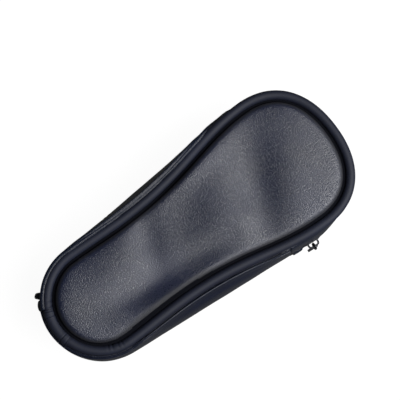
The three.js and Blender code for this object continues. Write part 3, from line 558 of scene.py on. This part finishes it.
def dents(x, y):
    total = np.zeros(np.broadcast(x, y).shape)
    for cx, cy, length, width, turn, height in DENTS:
        c, s = math.cos(math.radians(turn)), math.sin(math.radians(turn))
        u, v = (x - cx) * c + (y - cy) * s, (y - cy) * c - (x - cx) * s
        total += height * np.exp(-0.5 * ((u / length) ** 2 + (v / width) ** 2))
    return total


def toward_edge(x, y):
    """How far the roll reaches out over the seam."""
    dx = x - np.clip(x, TAIL_X, 55)
    facing = (LIT_SIDE[0] * dx + LIT_SIDE[1] * y) / (np.hypot(dx, y) + 1e-9)
    return ROLL_OVER * smooth_fade(facing, -0.65, 0.6)


def seam_dulling_and_shade(x, y, depth):
    """How rough and how darkened with painted shade the leather is: 1 down in the seam and 0 on the roll, further in
    at the waist's hinge side.
    """
    waist = DULLING_SHADE_IN * smooth_fade(-y, 12, 10) * np.exp(-(((x - DULLING_SHADE_WAIST) / DULLING_SHADE_HALF) ** 4))
    return 1 - smooth_fade(depth + toward_edge(x, y) - waist, DULLING_SHADE_TO, DULLING_SHADE_FADE + 2 * waist)


def lid_height(x, y, depth):
    """Top of the lid panel above the welt's centre."""
    roll = np.interp(depth + toward_edge(x, y), *zip(*LIP))
    fine = 0.035 * ripple(x, y, 0 * x, 8, 3.1)
    return roll * (1 + (dents(x, y) + fine) / DENT_BASE)


def base_height(x, y, depth):
    """How far the base panel reaches below its welt's centre; it lies flat but for slow waves."""
    wave = 0.5 + 0.5 * ripple(x, y, 0 * x, 24, 8.3)
    return np.interp(depth, *zip(*BASE_LIP)) - 0.45 * smooth_fade(depth, 3.0, 6.0) * wave**2


RING = whole(1.1)


def panel_rows(insets, inner_rows):
    """Rings at insets from the welt line and inner_rows more, evenly to the spine: their points, (rings, stations, 2),
    and how far in those are."""
    rows = [RING.p - RING.n * d for d in insets]
    depth = [np.full(len(RING), d) for d in insets]
    edge = rows[-1]
    spine = np.c_[np.clip(edge[:, 0], TAIL_X, HEAD_X - 2), np.zeros(len(edge))]
    far = np.linalg.norm(spine - edge, axis=1)
    for k in range(1, inner_rows + 1):
        t = k / inner_rows
        rows.append(edge + (spine - edge) * t)
        depth.append(insets[-1] + far * t)
    return np.array(rows), np.array(depth)


def edge_insets(first, last, spacing):
    """Close together at the edge, then spacing apart."""
    return np.r_[np.arange(first, first + 1.9, 0.15), np.arange(first + 2.0, last + 0.01, spacing)]


def slab(name, rows, top, under, edge, material, seam_shades=None):
    """A closed skin over rings of points: top and underside heights, joined round the outside through edge's rings
    of [outward, height]. The last argument is how much painted seam shade each ring takes."""
    count, n = rows.shape[:2]
    verts = [np.dstack([rows, top]).reshape(-1, 3), np.dstack([rows, under]).reshape(-1, 3)]
    verts += [np.c_[RING.p + RING.n * r, np.full(n, z)] for r, z in edge]
    verts = np.vstack(verts)
    size = count * n
    faces = []
    for i in range(count - 1):
        faces += ring_faces((i + 1) * n, i * n, n) + ring_faces(size + i * n, size + (i + 1) * n, n)
    chain = [0] + [2 * size + q * n for q in range(len(edge))] + [size]
    for a, b in zip(chain, chain[1:]):
        faces += ring_faces(a, b, n)
    obj = mesh_piece(name, verts, faces, material, verts[:, :2])
    # The seam's painted shade, one value a point, read by the leather's material.
    if seam_shades is not None:
        shade = np.ones(len(verts))
        shade[:size] = shade[size : 2 * size] = seam_shades.ravel()
        layer = obj.data.color_attributes.new("seam_shade", "FLOAT_COLOR", "POINT")
        layer.data.foreach_set("color", np.repeat(shade[:, None], 4, 1).astype(np.float32).ravel())
        # Faces wholly deep in the painted seam shade take the near-black leather, a painted shadow.
        obj.data.materials.append(SEAM_SHADOW_LEATHER)
        for face in obj.data.polygons:
            face.material_index = int(min(shade[v] for v in face.vertices) > SEAM_SHADOW_FROM)
    return clean(obj, 2e-6, True)


def made(obj, body, slot, *nodes):
    """Gives a piece its body; slot is not used; nodes are the CAD nodes that it stands for, and they are hidden."""
    if nodes:
        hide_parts(*nodes)
    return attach(obj, body)


# The pieces below take the body, lid or base, the height of its welt, and 1 for up or -1 for down.
def panel(body, welt, facing, height):
    rows, depth = panel_rows(edge_insets(PANEL_EDGE, 13.6, 0.45), 20)
    x, y = rows[..., 0], rows[..., 1]
    rise = height(x, y, depth)
    thin = LEATHER * (0.62 + 0.38 * smooth_fade(depth, 3.4, 3))
    seam = [along(u, v) for u, v in (
        (SEAM_MOUTH + 0.6, LEG + CLEAR), (SEAM_END, LEG + CLEAR), (SEAM_END, STACK), (SEAM_MOUTH + 1.2, STACK),
    )]
    edge = [(r, welt + facing * z) for r, z in seam]
    # The last argument lays the seam's painted shade on the panel's leather.
    obj = slab(f"{body}_panel_leather", rows, welt + facing * rise, welt + facing * (rise - thin), edge, SHELL,
               seam_dulling_and_shade(x, y, depth))
    return made(obj, body, "shell_leather", f"{body}_panel")


panel("lid", LID_Z, 1, lid_height)
panel("base", BASE_Z, -1, base_height)


# ---------- pads and linings behind the two panels ----------
def behind(height, first, last):
    """Rings behind a panel: points, how far in, the underside of its leather, and how thick the foam is there."""
    rows, depth = panel_rows(edge_insets(first, last, 0.7), 16)
    skin = height(rows[..., 0], rows[..., 1], depth) - LEATHER - CLEAR
    return rows, depth, skin, 1.2 + 0.68 * (skin + 0.6)


def pad_and_lining(body, welt, facing, height):
    rows, depth, skin, thick = behind(height, EDGE + 0.5, 13.4)
    to_edge = np.clip((EDGE + 2.6 - depth) / 2.1, 0, 1)
    full = np.sqrt(1 - to_edge**2)  # 0 at the pad's rounded edge, 1 inside
    top = skin - 0.12 * (1 - full)
    under = top - thick * (0.25 + 0.75 * full)
    pad = slab(f"{body}_pad", rows, welt + facing * top, welt + facing * under, [], FOAM_SKIN)
    made(pad, body, "foam", f"{body}_padding")

    rows, depth, skin, thick = behind(height, EDGE, 13.3)
    ripples = 0.06 * ripple(rows[..., 0], rows[..., 1], 0 * depth, 9, 5.2)
    top = skin - thick - CLEAR + np.minimum(ripples, 0)
    under = top - LINING_T - 0.25 * bell(depth, EDGE + 1.2, 0.8)
    sheet = slab(f"{body}_lining_cloth", rows, welt + facing * top, welt + facing * under, [], LINING)
    made(sheet, body, "lining", f"{body}_lining")


pad_and_lining("lid", LID_Z, 1, lid_height)
pad_and_lining("base", BASE_Z, -1, base_height)


# ---------- piping: leather round a laid cord, with a joint sleeve at the tail ----------
PUCKERS = (  # place and width, in degrees round the tail from its tip
    (-33, 0.7), (-27, 1.0), (-21, 0.7), (-17, 0.9), (-3, 0.7), (3, 1.0), (8, 0.6), (17, 0.9),
    (64, 0.7), (69, 1.0), (76, 0.8), (81, 0.7),
)
PUCKER_DEPTH = 0.45
CORD_LAY = 9  # length of one turn of the cord's three strands
SLEEVE_MORE = 3.2  # past its CAD piece's end
SLEEVE_RING = 2.3  # middle of each ring, from the sleeve's end
SLEEVE_PROUD, SLEEVE_T = 0.28, 0.38


def puckers(stations):
    """Small creases where the piping bends tightest, round the tail."""
    angle = np.degrees(stations.run / TAIL_R)
    total = np.zeros(len(stations))
    for at, width in PUCKERS:
        total += bell(angle, at, width) + bell(angle, at + math.degrees(ROUND / TAIL_R), width)
    return total


def piping(body, welt, facing):
    stations = whole(0.55)
    seam = math.pi + SEAM_TILT
    gap = math.asin(LEG / PIPING_R)
    a = np.linspace(seam + gap, seam + 2 * math.pi - gap, 36)
    wobble = 0.035 * ripple_at(stations, np.cos(a)[None, :] * 2, 5, 2.2)
    inner_side = np.clip(0.3 - 0.8 * np.cos(a + 0.5), 0, 1) ** 2
    outer = polar(PIPING_R + wobble - PUCKER_DEPTH * puckers(stations)[:, None] * inner_side, a)
    bore = PIPING_R - PIPING_SKIN
    slit = math.asin(CLEAR / 2 / bore)
    inner = polar(bore, np.linspace(seam + 2 * math.pi - slit, seam + slit, 14))

    def each(points):
        return np.tile(points, (len(stations), 1, 1))

    def end(v):
        return each(along(SEAM_END, v))

    section = [end(-LEG), outer, end(LEG), end(CLEAR / 2), each(inner), end(-CLEAR / 2)]
    section = np.concatenate(section, 1) * (1, facing) + (0, welt)
    obj = loft(f"{body}_piping_leather", stations, section, PIPING, True)
    made(obj, body, "piping_leather", f"{body}_piping_cover")

    stations = whole(0.7)
    a = np.linspace(0, 2 * math.pi, 21)[:-1]
    lay = a[None, :] - 2 * math.pi * round(ROUND / CORD_LAY) * stations.run[:, None] / ROUND
    section = polar(1.46 + 0.2 * np.abs(np.sin(1.5 * lay)), a) + (0, welt)
    rope = loft(f"{body}_piping_rope", stations, section, CORD, True)
    made(rope, body, "piping_cord", f"{body}_piping_cord")


def sleeve(body, welt, facing):
    """A short leather sleeve over the piping's joint, raised in a ring near each end between two grooves."""
    start, stop = tail_run(SLEEVE_FROM), tail_run(SLEEVE_TO) + SLEEVE_MORE
    stations = Stations(steps(start, stop, 0.2))
    a = np.radians(np.linspace(-52, 140, 40))
    ring = np.zeros(len(stations))
    for middle in (start + SLEEVE_RING, stop - SLEEVE_RING):
        off = stations.run - middle
        ring += 0.2 * np.exp(-((off / 2.1) ** 6)) - 0.42 * (bell(off, -1.5, 0.3) + bell(off, 1.5, 0.3))
    wobble = 0.05 * ripple_at(stations, a[None, :], 3, 4.4)
    outer = polar(PIPING_R + CLEAR + SLEEVE_PROUD + ring[:, None] + wobble, a)
    section = sheet_section(outer, SLEEVE_T) * (1, facing) + (0, welt)
    obj = loft(f"{body}_joint_sleeve", stations, section, PIPING, False)
    return made(obj, body, "piping_leather", f"{body}_piping_sleeve")


# ---------- walls ----------
HUG_R = PIPING_R + 0.4  # the wall's leather, round the piping's underside
HUG_FROM = math.radians(-128)
HUG_TO, HUG_MORE = -86, 55  # degrees: where it ends, and how much further it goes where the wall bulges
# Folds that stand beside the piping: from r = rise they are lift high, and fall away over fall from r = crest.
BAND_FOLD = {"lift": 3.8, "slope": 0.55, "rise": 2.9, "crest": 4.8, "fall": 0.7}
STRIP_FOLD = {"lift": 1.7, "slope": 0.1, "rise": 3.6, "crest": 4.3, "fall": 1.3}
BAND_CLIMB = math.radians(83)  # how much further the band goes round the piping under its fold
STITCH_ROW = 2.3  # from the band's edge
STITCH_PITCH, STITCH = 3.0, 2.2
THREAD_SIDES = 6
THREAD_SHAPE = ((0.0, 0.35), (0.12, 0.85), (0.5, 1.0), (0.88, 0.85), (1.0, 0.35))  # share of its length, of its radius


def bulging(stations):
    return smooth_fade(stations.bulge, 2.5, 3.5)


def zip_side(stations):
    return smooth_fade(stations.p[:, 1], -4, 8)


def wall_start(stations):
    """Where the wall leaves the piping's underside, as distance out, drop and angle: the more it bulges, the further
    it hugs round it."""
    angle = np.radians(HUG_TO + HUG_MORE * bulging(stations))
    return HUG_R * np.cos(angle), -HUG_R * np.sin(angle), angle


def wall_r(stations, up, inset=0.0):
    """How far out the wall's face is at heights up from the zip's middle, (stations, heights)."""
    r0, drop, _ = (v[:, None] for v in wall_start(stations))
    share = np.clip(np.abs(up) / (GAP / 2 - drop), 0, 1)
    slack = (smooth_fade(stations.bulge, 6, 3) * zip_side(stations))[:, None] * (0.4 + 0.5 * share**2)
    out = np.maximum(stations.bulge[:, None] - slack, r0)
    return r0 + (out - r0) * (1 - share**BULGE_POWER) ** (1 / BULGE_POWER) - inset


def wall_face(stations, fullness, last, count, lift, slope, rise, crest, fall):
    """The wall's face from the piping down to a drop of last: [outward, height above the welt]. Where it bulges, the
    leather stands up beside the piping in a fold, higher by slope as it goes out."""
    _, drop, _ = wall_start(stations)
    t = np.linspace(0, 1, count + 1)[1:] ** 2.6
    drops = drop[:, None] + (last - drop)[:, None] * t
    r = wall_r(stations, GAP / 2 - drops)
    top = lift + slope * np.clip(r - rise, 0, crest - rise)
    fold = top * fullness[:, None] * (smooth_fade(r, rise - 0.5, 0.5) - smooth_fade(r, crest, fall))
    fold *= 1 - smooth_fade(drops, 2.5, 5.5)
    dip = 0.8 * smooth_fade(stations.bulge, 6.0, 2.5)[:, None] * bell(r, crest + 2.0, 1.1)
    return np.stack([r, -drops + fold - dip], -1)


def wall_outer(stations, climb, face):
    """A whole wall's outer face: out of the seam, round the piping's underside and climb further, and down face."""
    lead = [along(u, -LEG - CLEAR) for u in (SEAM_END, 4.6, SEAM_MOUTH + 0.25)]
    end = wall_start(stations)[2] + climb
    hug = polar(HUG_R, HUG_FROM + (end - HUG_FROM)[:, None] * np.linspace(0, 1, 12))
    return np.concatenate([np.tile(lead, (len(stations), 1, 1)), hug, face], 1)


def band(body, welt, facing):
    stations = Stations(steps(HEAD_SEAM + CLEAR / 2, TAIL_SEAM_RUN - CLEAR / 2, 0.9))
    full = bulging(stations) * zip_side(stations)
    face = wall_face(stations, full, BAND_EDGE, 40, **BAND_FOLD)
    off = BAND_EDGE + face[..., 1]
    face[..., 0] += 0.22 * bell(off, 0.9, 0.9) - 0.28 * bell(off, STITCH_ROW, 0.4)
    face[..., 0] += 0.12 * ripple_at(stations, face[..., 1], 9, 6.1) * smooth_fade(-face[..., 1], 3, 4)
    section = sheet_section(wall_outer(stations, BAND_CLIMB * full, face), -LEATHER) * (1, facing) + (0, welt)
    obj = loft(f"{body}_band_leather", stations, section, WALL, False)
    made(obj, body, "shell_leather", f"{body}_band")
    stitching(f"{body}_band_stitching", body, welt, facing)


def threads(name, starts, ends, radius):
    """Stitches: short bowed capsules between pairs of points."""
    verts, faces = [], []
    m = THREAD_SIDES
    turn = np.linspace(0, 2 * math.pi, m + 1)[:-1]
    for a, b in zip(starts, ends):
        way = (b - a) / np.linalg.norm(b - a)
        side = np.cross(way, (0, 0, 1))
        side /= np.linalg.norm(side)
        up = np.cross(side, way)
        rings = [len(verts) + m * i for i in range(len(THREAD_SHAPE))]
        for t, size in THREAD_SHAPE:
            middle = a + (b - a) * t
            verts += [middle + radius * size * (side * math.cos(q) + up * math.sin(q)) for q in turn]
        for first, after in zip(rings, rings[1:]):
            faces += ring_faces(after, first, m)
        faces += [[rings[0] + j for j in range(m)][::-1], [rings[-1] + j for j in range(m)]]
    verts = np.array(verts)
    return mesh_piece(name, verts, faces, THREAD, verts[:, :2])


def stitching(name, body, welt, facing):
    first, last = HEAD_SEAM + 2, TAIL_SEAM_RUN - 2
    at = first + np.arange(int((last - first) / STITCH_PITCH)) * STITCH_PITCH
    drop = np.array([BAND_EDGE - STITCH_ROW])
    ends = []
    for runs in (at, at + STITCH):
        s = Stations(runs)
        r = wall_r(s, GAP / 2 - drop) - 0.08
        ends.append(np.c_[s.p + s.n * r, np.full(len(s), welt - facing * drop[0])])
    return made(threads(name, *ends, 0.24), body, "shell_leather")


def hinge_strip():
    """One strip from seam to seam, shaped as it lies with the lid shut; the real strip bends in its middle as the lid
    opens.
    """
    stations = Stations(steps(tail_run(TAIL_SEAM) + CLEAR / 2, HEAD_SEAM - CLEAR / 2, 0.9))
    full = bulging(stations) * (1 + 0.9 * smooth_fade(-stations.p[:, 0], 45, 15))
    face = wall_face(stations, full, GAP / 2, 44, **STRIP_FOLD)
    face[..., 0] += 0.15 * ripple_at(stations, face[..., 1], 13, 9.4) * smooth_fade(-face[..., 1], 3, 5)
    upper = wall_outer(stations, 0, face) + (0, LID_Z)
    lower = upper[:, -2::-1] * (1, -1) + (0, 2 * MID_Z)
    section = sheet_section(np.concatenate([upper, lower], 1), -LEATHER)
    obj = loft("hinge_strip_leather", stations, section, STRIP, False)
    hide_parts("hinge_strip")
    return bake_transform(obj)


def wall_lining(body, welt, facing):
    stations = whole(1.1)
    drops = np.linspace(WALL_TOP + 2.75, BAND_EDGE + 0.65, 16)
    r = wall_r(stations, GAP / 2 - drops, LINING_BACK)
    r -= 0.1 + 0.1 * ripple_at(stations, drops[None, :], 8, 7.7)
    face = np.stack([r, np.broadcast_to(-drops, r.shape)], -1)
    section = sheet_section(face, -1.0) * (1, facing) + (0, welt)
    obj = loft(f"{body}_wall_cloth", stations, section, LINING, True)
    return made(obj, body, "lining", f"{body}_wall_lining")


def seam_binding(body, welt, facing):
    """Tape folded over the seam's raw edges, and its stitches."""
    stations = whole(0.9)
    out = STACK + CLEAR + BINDING_T
    lip, deep = SEAM_END - BINDING_GRIP, SEAM_END + CLEAR + BINDING_T
    half = [(lip, out), (deep - 0.9, out), (deep - 0.25, out - 0.3), (deep, out - 1.0)]
    path = [*half, (deep, 0), *((u, -v) for u, v in half[::-1])]
    outer = np.array([along(u, v) for u, v in curve_through(path, 34)])
    section = sheet_section(np.tile(outer, (len(stations), 1, 1)), 0.6) * (1, facing) + (0, welt)
    obj = loft(f"{body}_binding_tape", stations, section, BINDING, True)
    made(obj, body, "lining", f"{body}_seam_binding")
    at = np.arange(int(ROUND / STITCH_PITCH)) * STITCH_PITCH
    r, z = along(lip + 0.8, out + 0.02)
    ends = []
    for runs in (at, at + 2.1):
        s = Stations(runs)
        ends.append(np.c_[s.p + s.n * r, np.full(len(s), welt + facing * z)])
    return made(threads(f"{body}_binding_stitching", *ends, 0.2), body, "lining")


for place in (("lid", LID_Z, 1), ("base", BASE_Z, -1)):
    piping(*place)
    sleeve(*place)
    band(*place)
    wall_lining(*place)
    seam_binding(*place)
hinge_strip()


# ---------- zip ----------
SIDE_SIN = (WALL_HEAD_R - WALL_TAIL_R) / (WALL_HEAD_X - TAIL_X)
SIDE_ANGLE = math.asin(SIDE_SIN)
SIDE_RUN = (WALL_HEAD_X - TAIL_X) * math.cos(SIDE_ANGLE)
HEAD_ARC_R = WALL_HEAD_R - TAPE_DEPTH
TAIL_ARC_R = WALL_TAIL_R - TAPE_DEPTH
HEAD_ARC = HEAD_ARC_R * (math.pi + 2 * SIDE_ANGLE)


class Chain:
    """Places along the zip. The run starts at the hinge side's tail end; the points lie on the wall's face."""

    def __init__(self, runs):
        self.run = np.asarray(runs, float)
        low = -math.pi / 2 - SIDE_ANGLE
        tail, head = np.array([TAIL_X, 0]), np.array([WALL_HEAD_X, 0])
        points, normals = [], []
        for run in self.run:
            if run < SIDE_RUN:
                angle, radius = low, WALL_TAIL_R
                middle = tail + run * np.array([math.cos(SIDE_ANGLE), -math.sin(SIDE_ANGLE)])
            elif run < SIDE_RUN + HEAD_ARC:
                angle, radius = low + (run - SIDE_RUN) / HEAD_ARC_R, WALL_HEAD_R
                middle = head
            elif run < 2 * SIDE_RUN + HEAD_ARC:
                angle, radius = -low, WALL_HEAD_R
                back = run - SIDE_RUN - HEAD_ARC
                middle = head - back * np.array([math.cos(SIDE_ANGLE), math.sin(SIDE_ANGLE)])
            else:
                angle, radius = -low + (run - 2 * SIDE_RUN - HEAD_ARC) / TAIL_ARC_R, WALL_TAIL_R
                middle = tail
            normals.append(np.array([math.cos(angle), math.sin(angle)]))
            points.append(middle + radius * normals[-1])
        self.p, self.n = np.array(points), np.array(normals)

    def __len__(self):
        return len(self.run)


HEAD_SEAM_RUN = (HEAD_SEAM_X - TAIL_X + TAIL_ARC_R * SIDE_SIN) / math.cos(SIDE_ANGLE)
TAIL_END_RUN = 2 * SIDE_RUN + HEAD_ARC + TAIL_ARC_R * (math.radians(TAIL_SEAM) - math.pi / 2 - SIDE_ANGLE)
HEAD_TAB_RUN = HEAD_SEAM_RUN + TAB_GAP
SLIDER_RUN = HEAD_TAB_RUN + HEAD_TAB + STOP_FROM_TAB + TOP_STOP + CLEAR + SLIDER_LENGTH / 2
TEETH_RUN = SLIDER_RUN - TEETH_HELD
TAIL_TAB_RUN = TAIL_END_RUN - TAIL_TAB - TAB_GAP
TEETH_SPAN = TAIL_TAB_RUN - TEETH_END - TEETH_RUN
TEETH_COUNT = round(TEETH_SPAN / TEETH_PITCH)
# A tooth, [along the zip, from the zip's middle], and the shares of it at depths through the tape.
TOOTH = np.array([
    (-0.5, 2.2), (-0.6, 2.85), (0.6, 2.85), (0.5, 2.2), (0.48, 1.3), (0.72, 0.2),
    (0.68, -0.45), (0.4, -0.88), (-0.4, -0.88), (-0.68, -0.45), (-0.72, 0.2), (-0.48, 1.3),
])
TOOTH_CENTRE = (0, 1.0)
TOOTH_LEVELS = (
    (-1.3, 0.8), (-1.12, 1.0), (-0.35, 1.0), (-0.2, 0.86), (0.2, 0.86), (0.35, 1.0), (1.12, 1.0), (1.3, 0.8),
)


def tape(name, body, side, start):
    stations = Chain(steps(start, TAIL_END_RUN - 1, 0.9))
    heights = np.linspace(2.05, WINDOW + TAPE_TUCK, 18)
    ribs = 0.12 * bell(heights, 3.7, 0.35) + 0.1 * bell(heights, 2.3, 0.4)
    outer = np.stack([-TAPE_DEPTH + 0.25 + ribs, MID_Z + side * heights], -1)
    section = sheet_section(np.tile(outer, (len(stations), 1, 1)), side * 0.5)
    obj = loft(f"{name}_woven", stations, section, TAPE, False)
    return made(obj, body, "zip_tape", name)


def teeth(name, body, side, phase):
    """Moulded teeth: a waisted neck, a rounded head and a foot that grips the tape's edge."""
    verts, faces = [], []
    m = len(TOOTH)
    for i in range(TEETH_COUNT):
        at = TEETH_RUN + (i + phase) * TEETH_SPAN / TEETH_COUNT
        rings = [len(verts) + m * k for k in range(len(TOOTH_LEVELS))]
        for depth, size in TOOTH_LEVELS:
            outline = (TOOTH - TOOTH_CENTRE) * size + TOOTH_CENTRE
            s = Chain(at + outline[:, 0])
            verts += [(*p, MID_Z + side * h) for p, (_, h) in zip(s.p - s.n * (TAPE_DEPTH + depth), outline)]
        for first, after in zip(rings, rings[1:]):
            faces += ring_faces(first, after, m)
        faces += [[rings[0] + j for j in range(m)], [rings[-1] + j for j in range(m)][::-1]]
    obj = clean(mesh_piece(f"{name}_moulded", verts, faces, TEETH, smooth=False), 2e-6, True)
    return made(obj, body, "zip_teeth", name)


def tab(name, start, length, profile, power):
    """Leather folded over the zip's end: profile is how proud it stands at shares of its length, and the higher power
    is, the squarer it is across."""
    stations = Chain(steps(start, start + length, 0.2))
    share = np.linspace(0, 1, len(stations))
    curve = curve_through([(at * length, proud) for at, proud in profile], 160)
    out = np.interp(share * length, curve[:, 0], curve[:, 1])
    to_end = np.clip(1 - np.minimum(share, 1 - share) * length / 0.7, 0, None)
    close = np.sqrt(np.clip(1 - to_end**2, 0.02, 1))[:, None]  # rounds off both ends
    h = np.linspace(-1, 1, 25)
    across = (WINDOW - CLEAR) * (0.96 + 0.04 * close) * h
    dome = (1 - np.abs(h) ** power) ** (1 / power)
    crease = 0.1 * ripple_at(stations, h[None, :] * 3, 2.2, 3.3)
    front = np.stack([-1.2 + (out[:, None] * close + 1.2 + crease) * dome, MID_Z + across], -1)
    back = np.stack([np.full(across.shape, -1.9), MID_Z + across[:, ::-1]], -1)
    obj = loft(f"{name}_leather", stations, np.concatenate([front, back], 1), WALL, False)
    return made(obj, "base", "shell_leather", name)


# The upper tape goes without its sewn end, which would meet the tab as the lid opens.
tape("zip_tape_upper", "lid", 1, HEAD_TAB_RUN + HEAD_TAB + 0.1)
tape("zip_tape_lower", "base", -1, HEAD_SEAM_RUN + 1)
teeth("zip_teeth_upper", "lid", 1, 0.5)
teeth("zip_teeth_lower", "base", -1, 1)
tab("zip_tab_head", HEAD_TAB_RUN, HEAD_TAB, [(0, 0.8), (0.12, 1.15), (0.5, 1.2), (0.8, 1.1), (1, 0.7)], 3)
tab("zip_tab_tail", TAIL_TAB_RUN, TAIL_TAB, [
    (0, 2.2), (0.1, 3.6), (0.3, 3.8), (0.37, 1.0), (0.46, 1.9), (0.7, 2.3), (0.92, 1.7), (1, 0.5),
], 2.6)

for name in ("zip_slider", "pull_link", "pull_tab", "zip_top_stop_upper", "zip_top_stop_lower", "zip_bottom_stop"):
    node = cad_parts[name]
    node.data.materials.clear()
    node.data.materials.append(METAL)
    bevel = node.modifiers.new("edges", "BEVEL")
    bevel.width = 0.12 * MM
    bevel.segments = 2
    bevel.limit_method = "ANGLE"
    bevel.angle_limit = math.radians(35)
    bevel.harden_normals = True


# ---------- stage and light ----------
FLOOR_HALF = 3.0  # metres


def make_floor():
    """White to the camera, dim to the object, and it keeps the object's shadow."""
    mesh = bpy.data.meshes.new("floor")
    s = FLOOR_HALF
    mesh.from_pydata([(-s, -s, 0), (s, -s, 0), (s, s, 0), (-s, s, 0)], [], [(0, 1, 2, 3)])
    floor = bpy.data.objects.new("floor", mesh)
    bpy.context.scene.collection.objects.link(floor)
    material, tree, shader = new_material("floor")
    glossy = calc(tree, "MULTIPLY", add(tree, "LightPath", {}, "Is Glossy Ray"), 0.04)
    feed(shader, {
        "Base Color": (0.12, 0.12, 0.12, 1), "Roughness": 0.9, "Specular IOR Level": 0.1,
        "Emission Color": (1, 1, 1, 1),
        "Emission Strength": calc(tree, "MULTIPLY_ADD", add(tree, "LightPath", {}, "Is Camera Ray"), 0.95, glossy),
    })
    mesh.materials.append(material)


def make_world():
    """White to the camera and nearly dark to the object."""
    world = bpy.data.worlds.new("world")
    bpy.context.scene.world = world
    world.use_nodes = True
    tree = world.node_tree
    tree.nodes.clear()
    low, bright = (add(tree, "Background", {"Color": (1, 1, 1, 1), "Strength": s}) for s in (0.05, 1.0))
    mix = add(tree, "MixShader", {0: add(tree, "LightPath", {}, "Is Camera Ray"), 1: low, 2: bright})
    feed(tree.nodes.new("ShaderNodeOutputWorld"), {0: mix})


def softbox(name, bearing, slant, width, depth, power, distance):
    """An area light aimed at the case, in metres. bearing is in degrees in the picture, 0 to its right and 90 up;
    slant is from the zenith."""
    data = bpy.data.lights.new(name, "AREA")
    data.shape = "RECTANGLE"
    data.size, data.size_y = width, depth
    data.energy = power
    light = bpy.data.objects.new(name, data)
    bpy.context.scene.collection.objects.link(light)
    b, s = math.radians(bearing), math.radians(slant)
    flat = PICTURE_RIGHT * math.cos(b) + PICTURE_UP * math.sin(b)
    away = flat * math.sin(s) + Vector((0, 0, math.cos(s)))
    light.location = away * distance + Vector((0, 0, 0.03))
    light.rotation_mode = "QUATERNION"
    light.rotation_quaternion = away.to_track_quat("Z", "Y")


make_floor()
make_world()
softbox("key", -12, 36, 1.05, 0.95, 17, 1.1)
bpy.context.scene.view_settings.view_transform = "Standard"
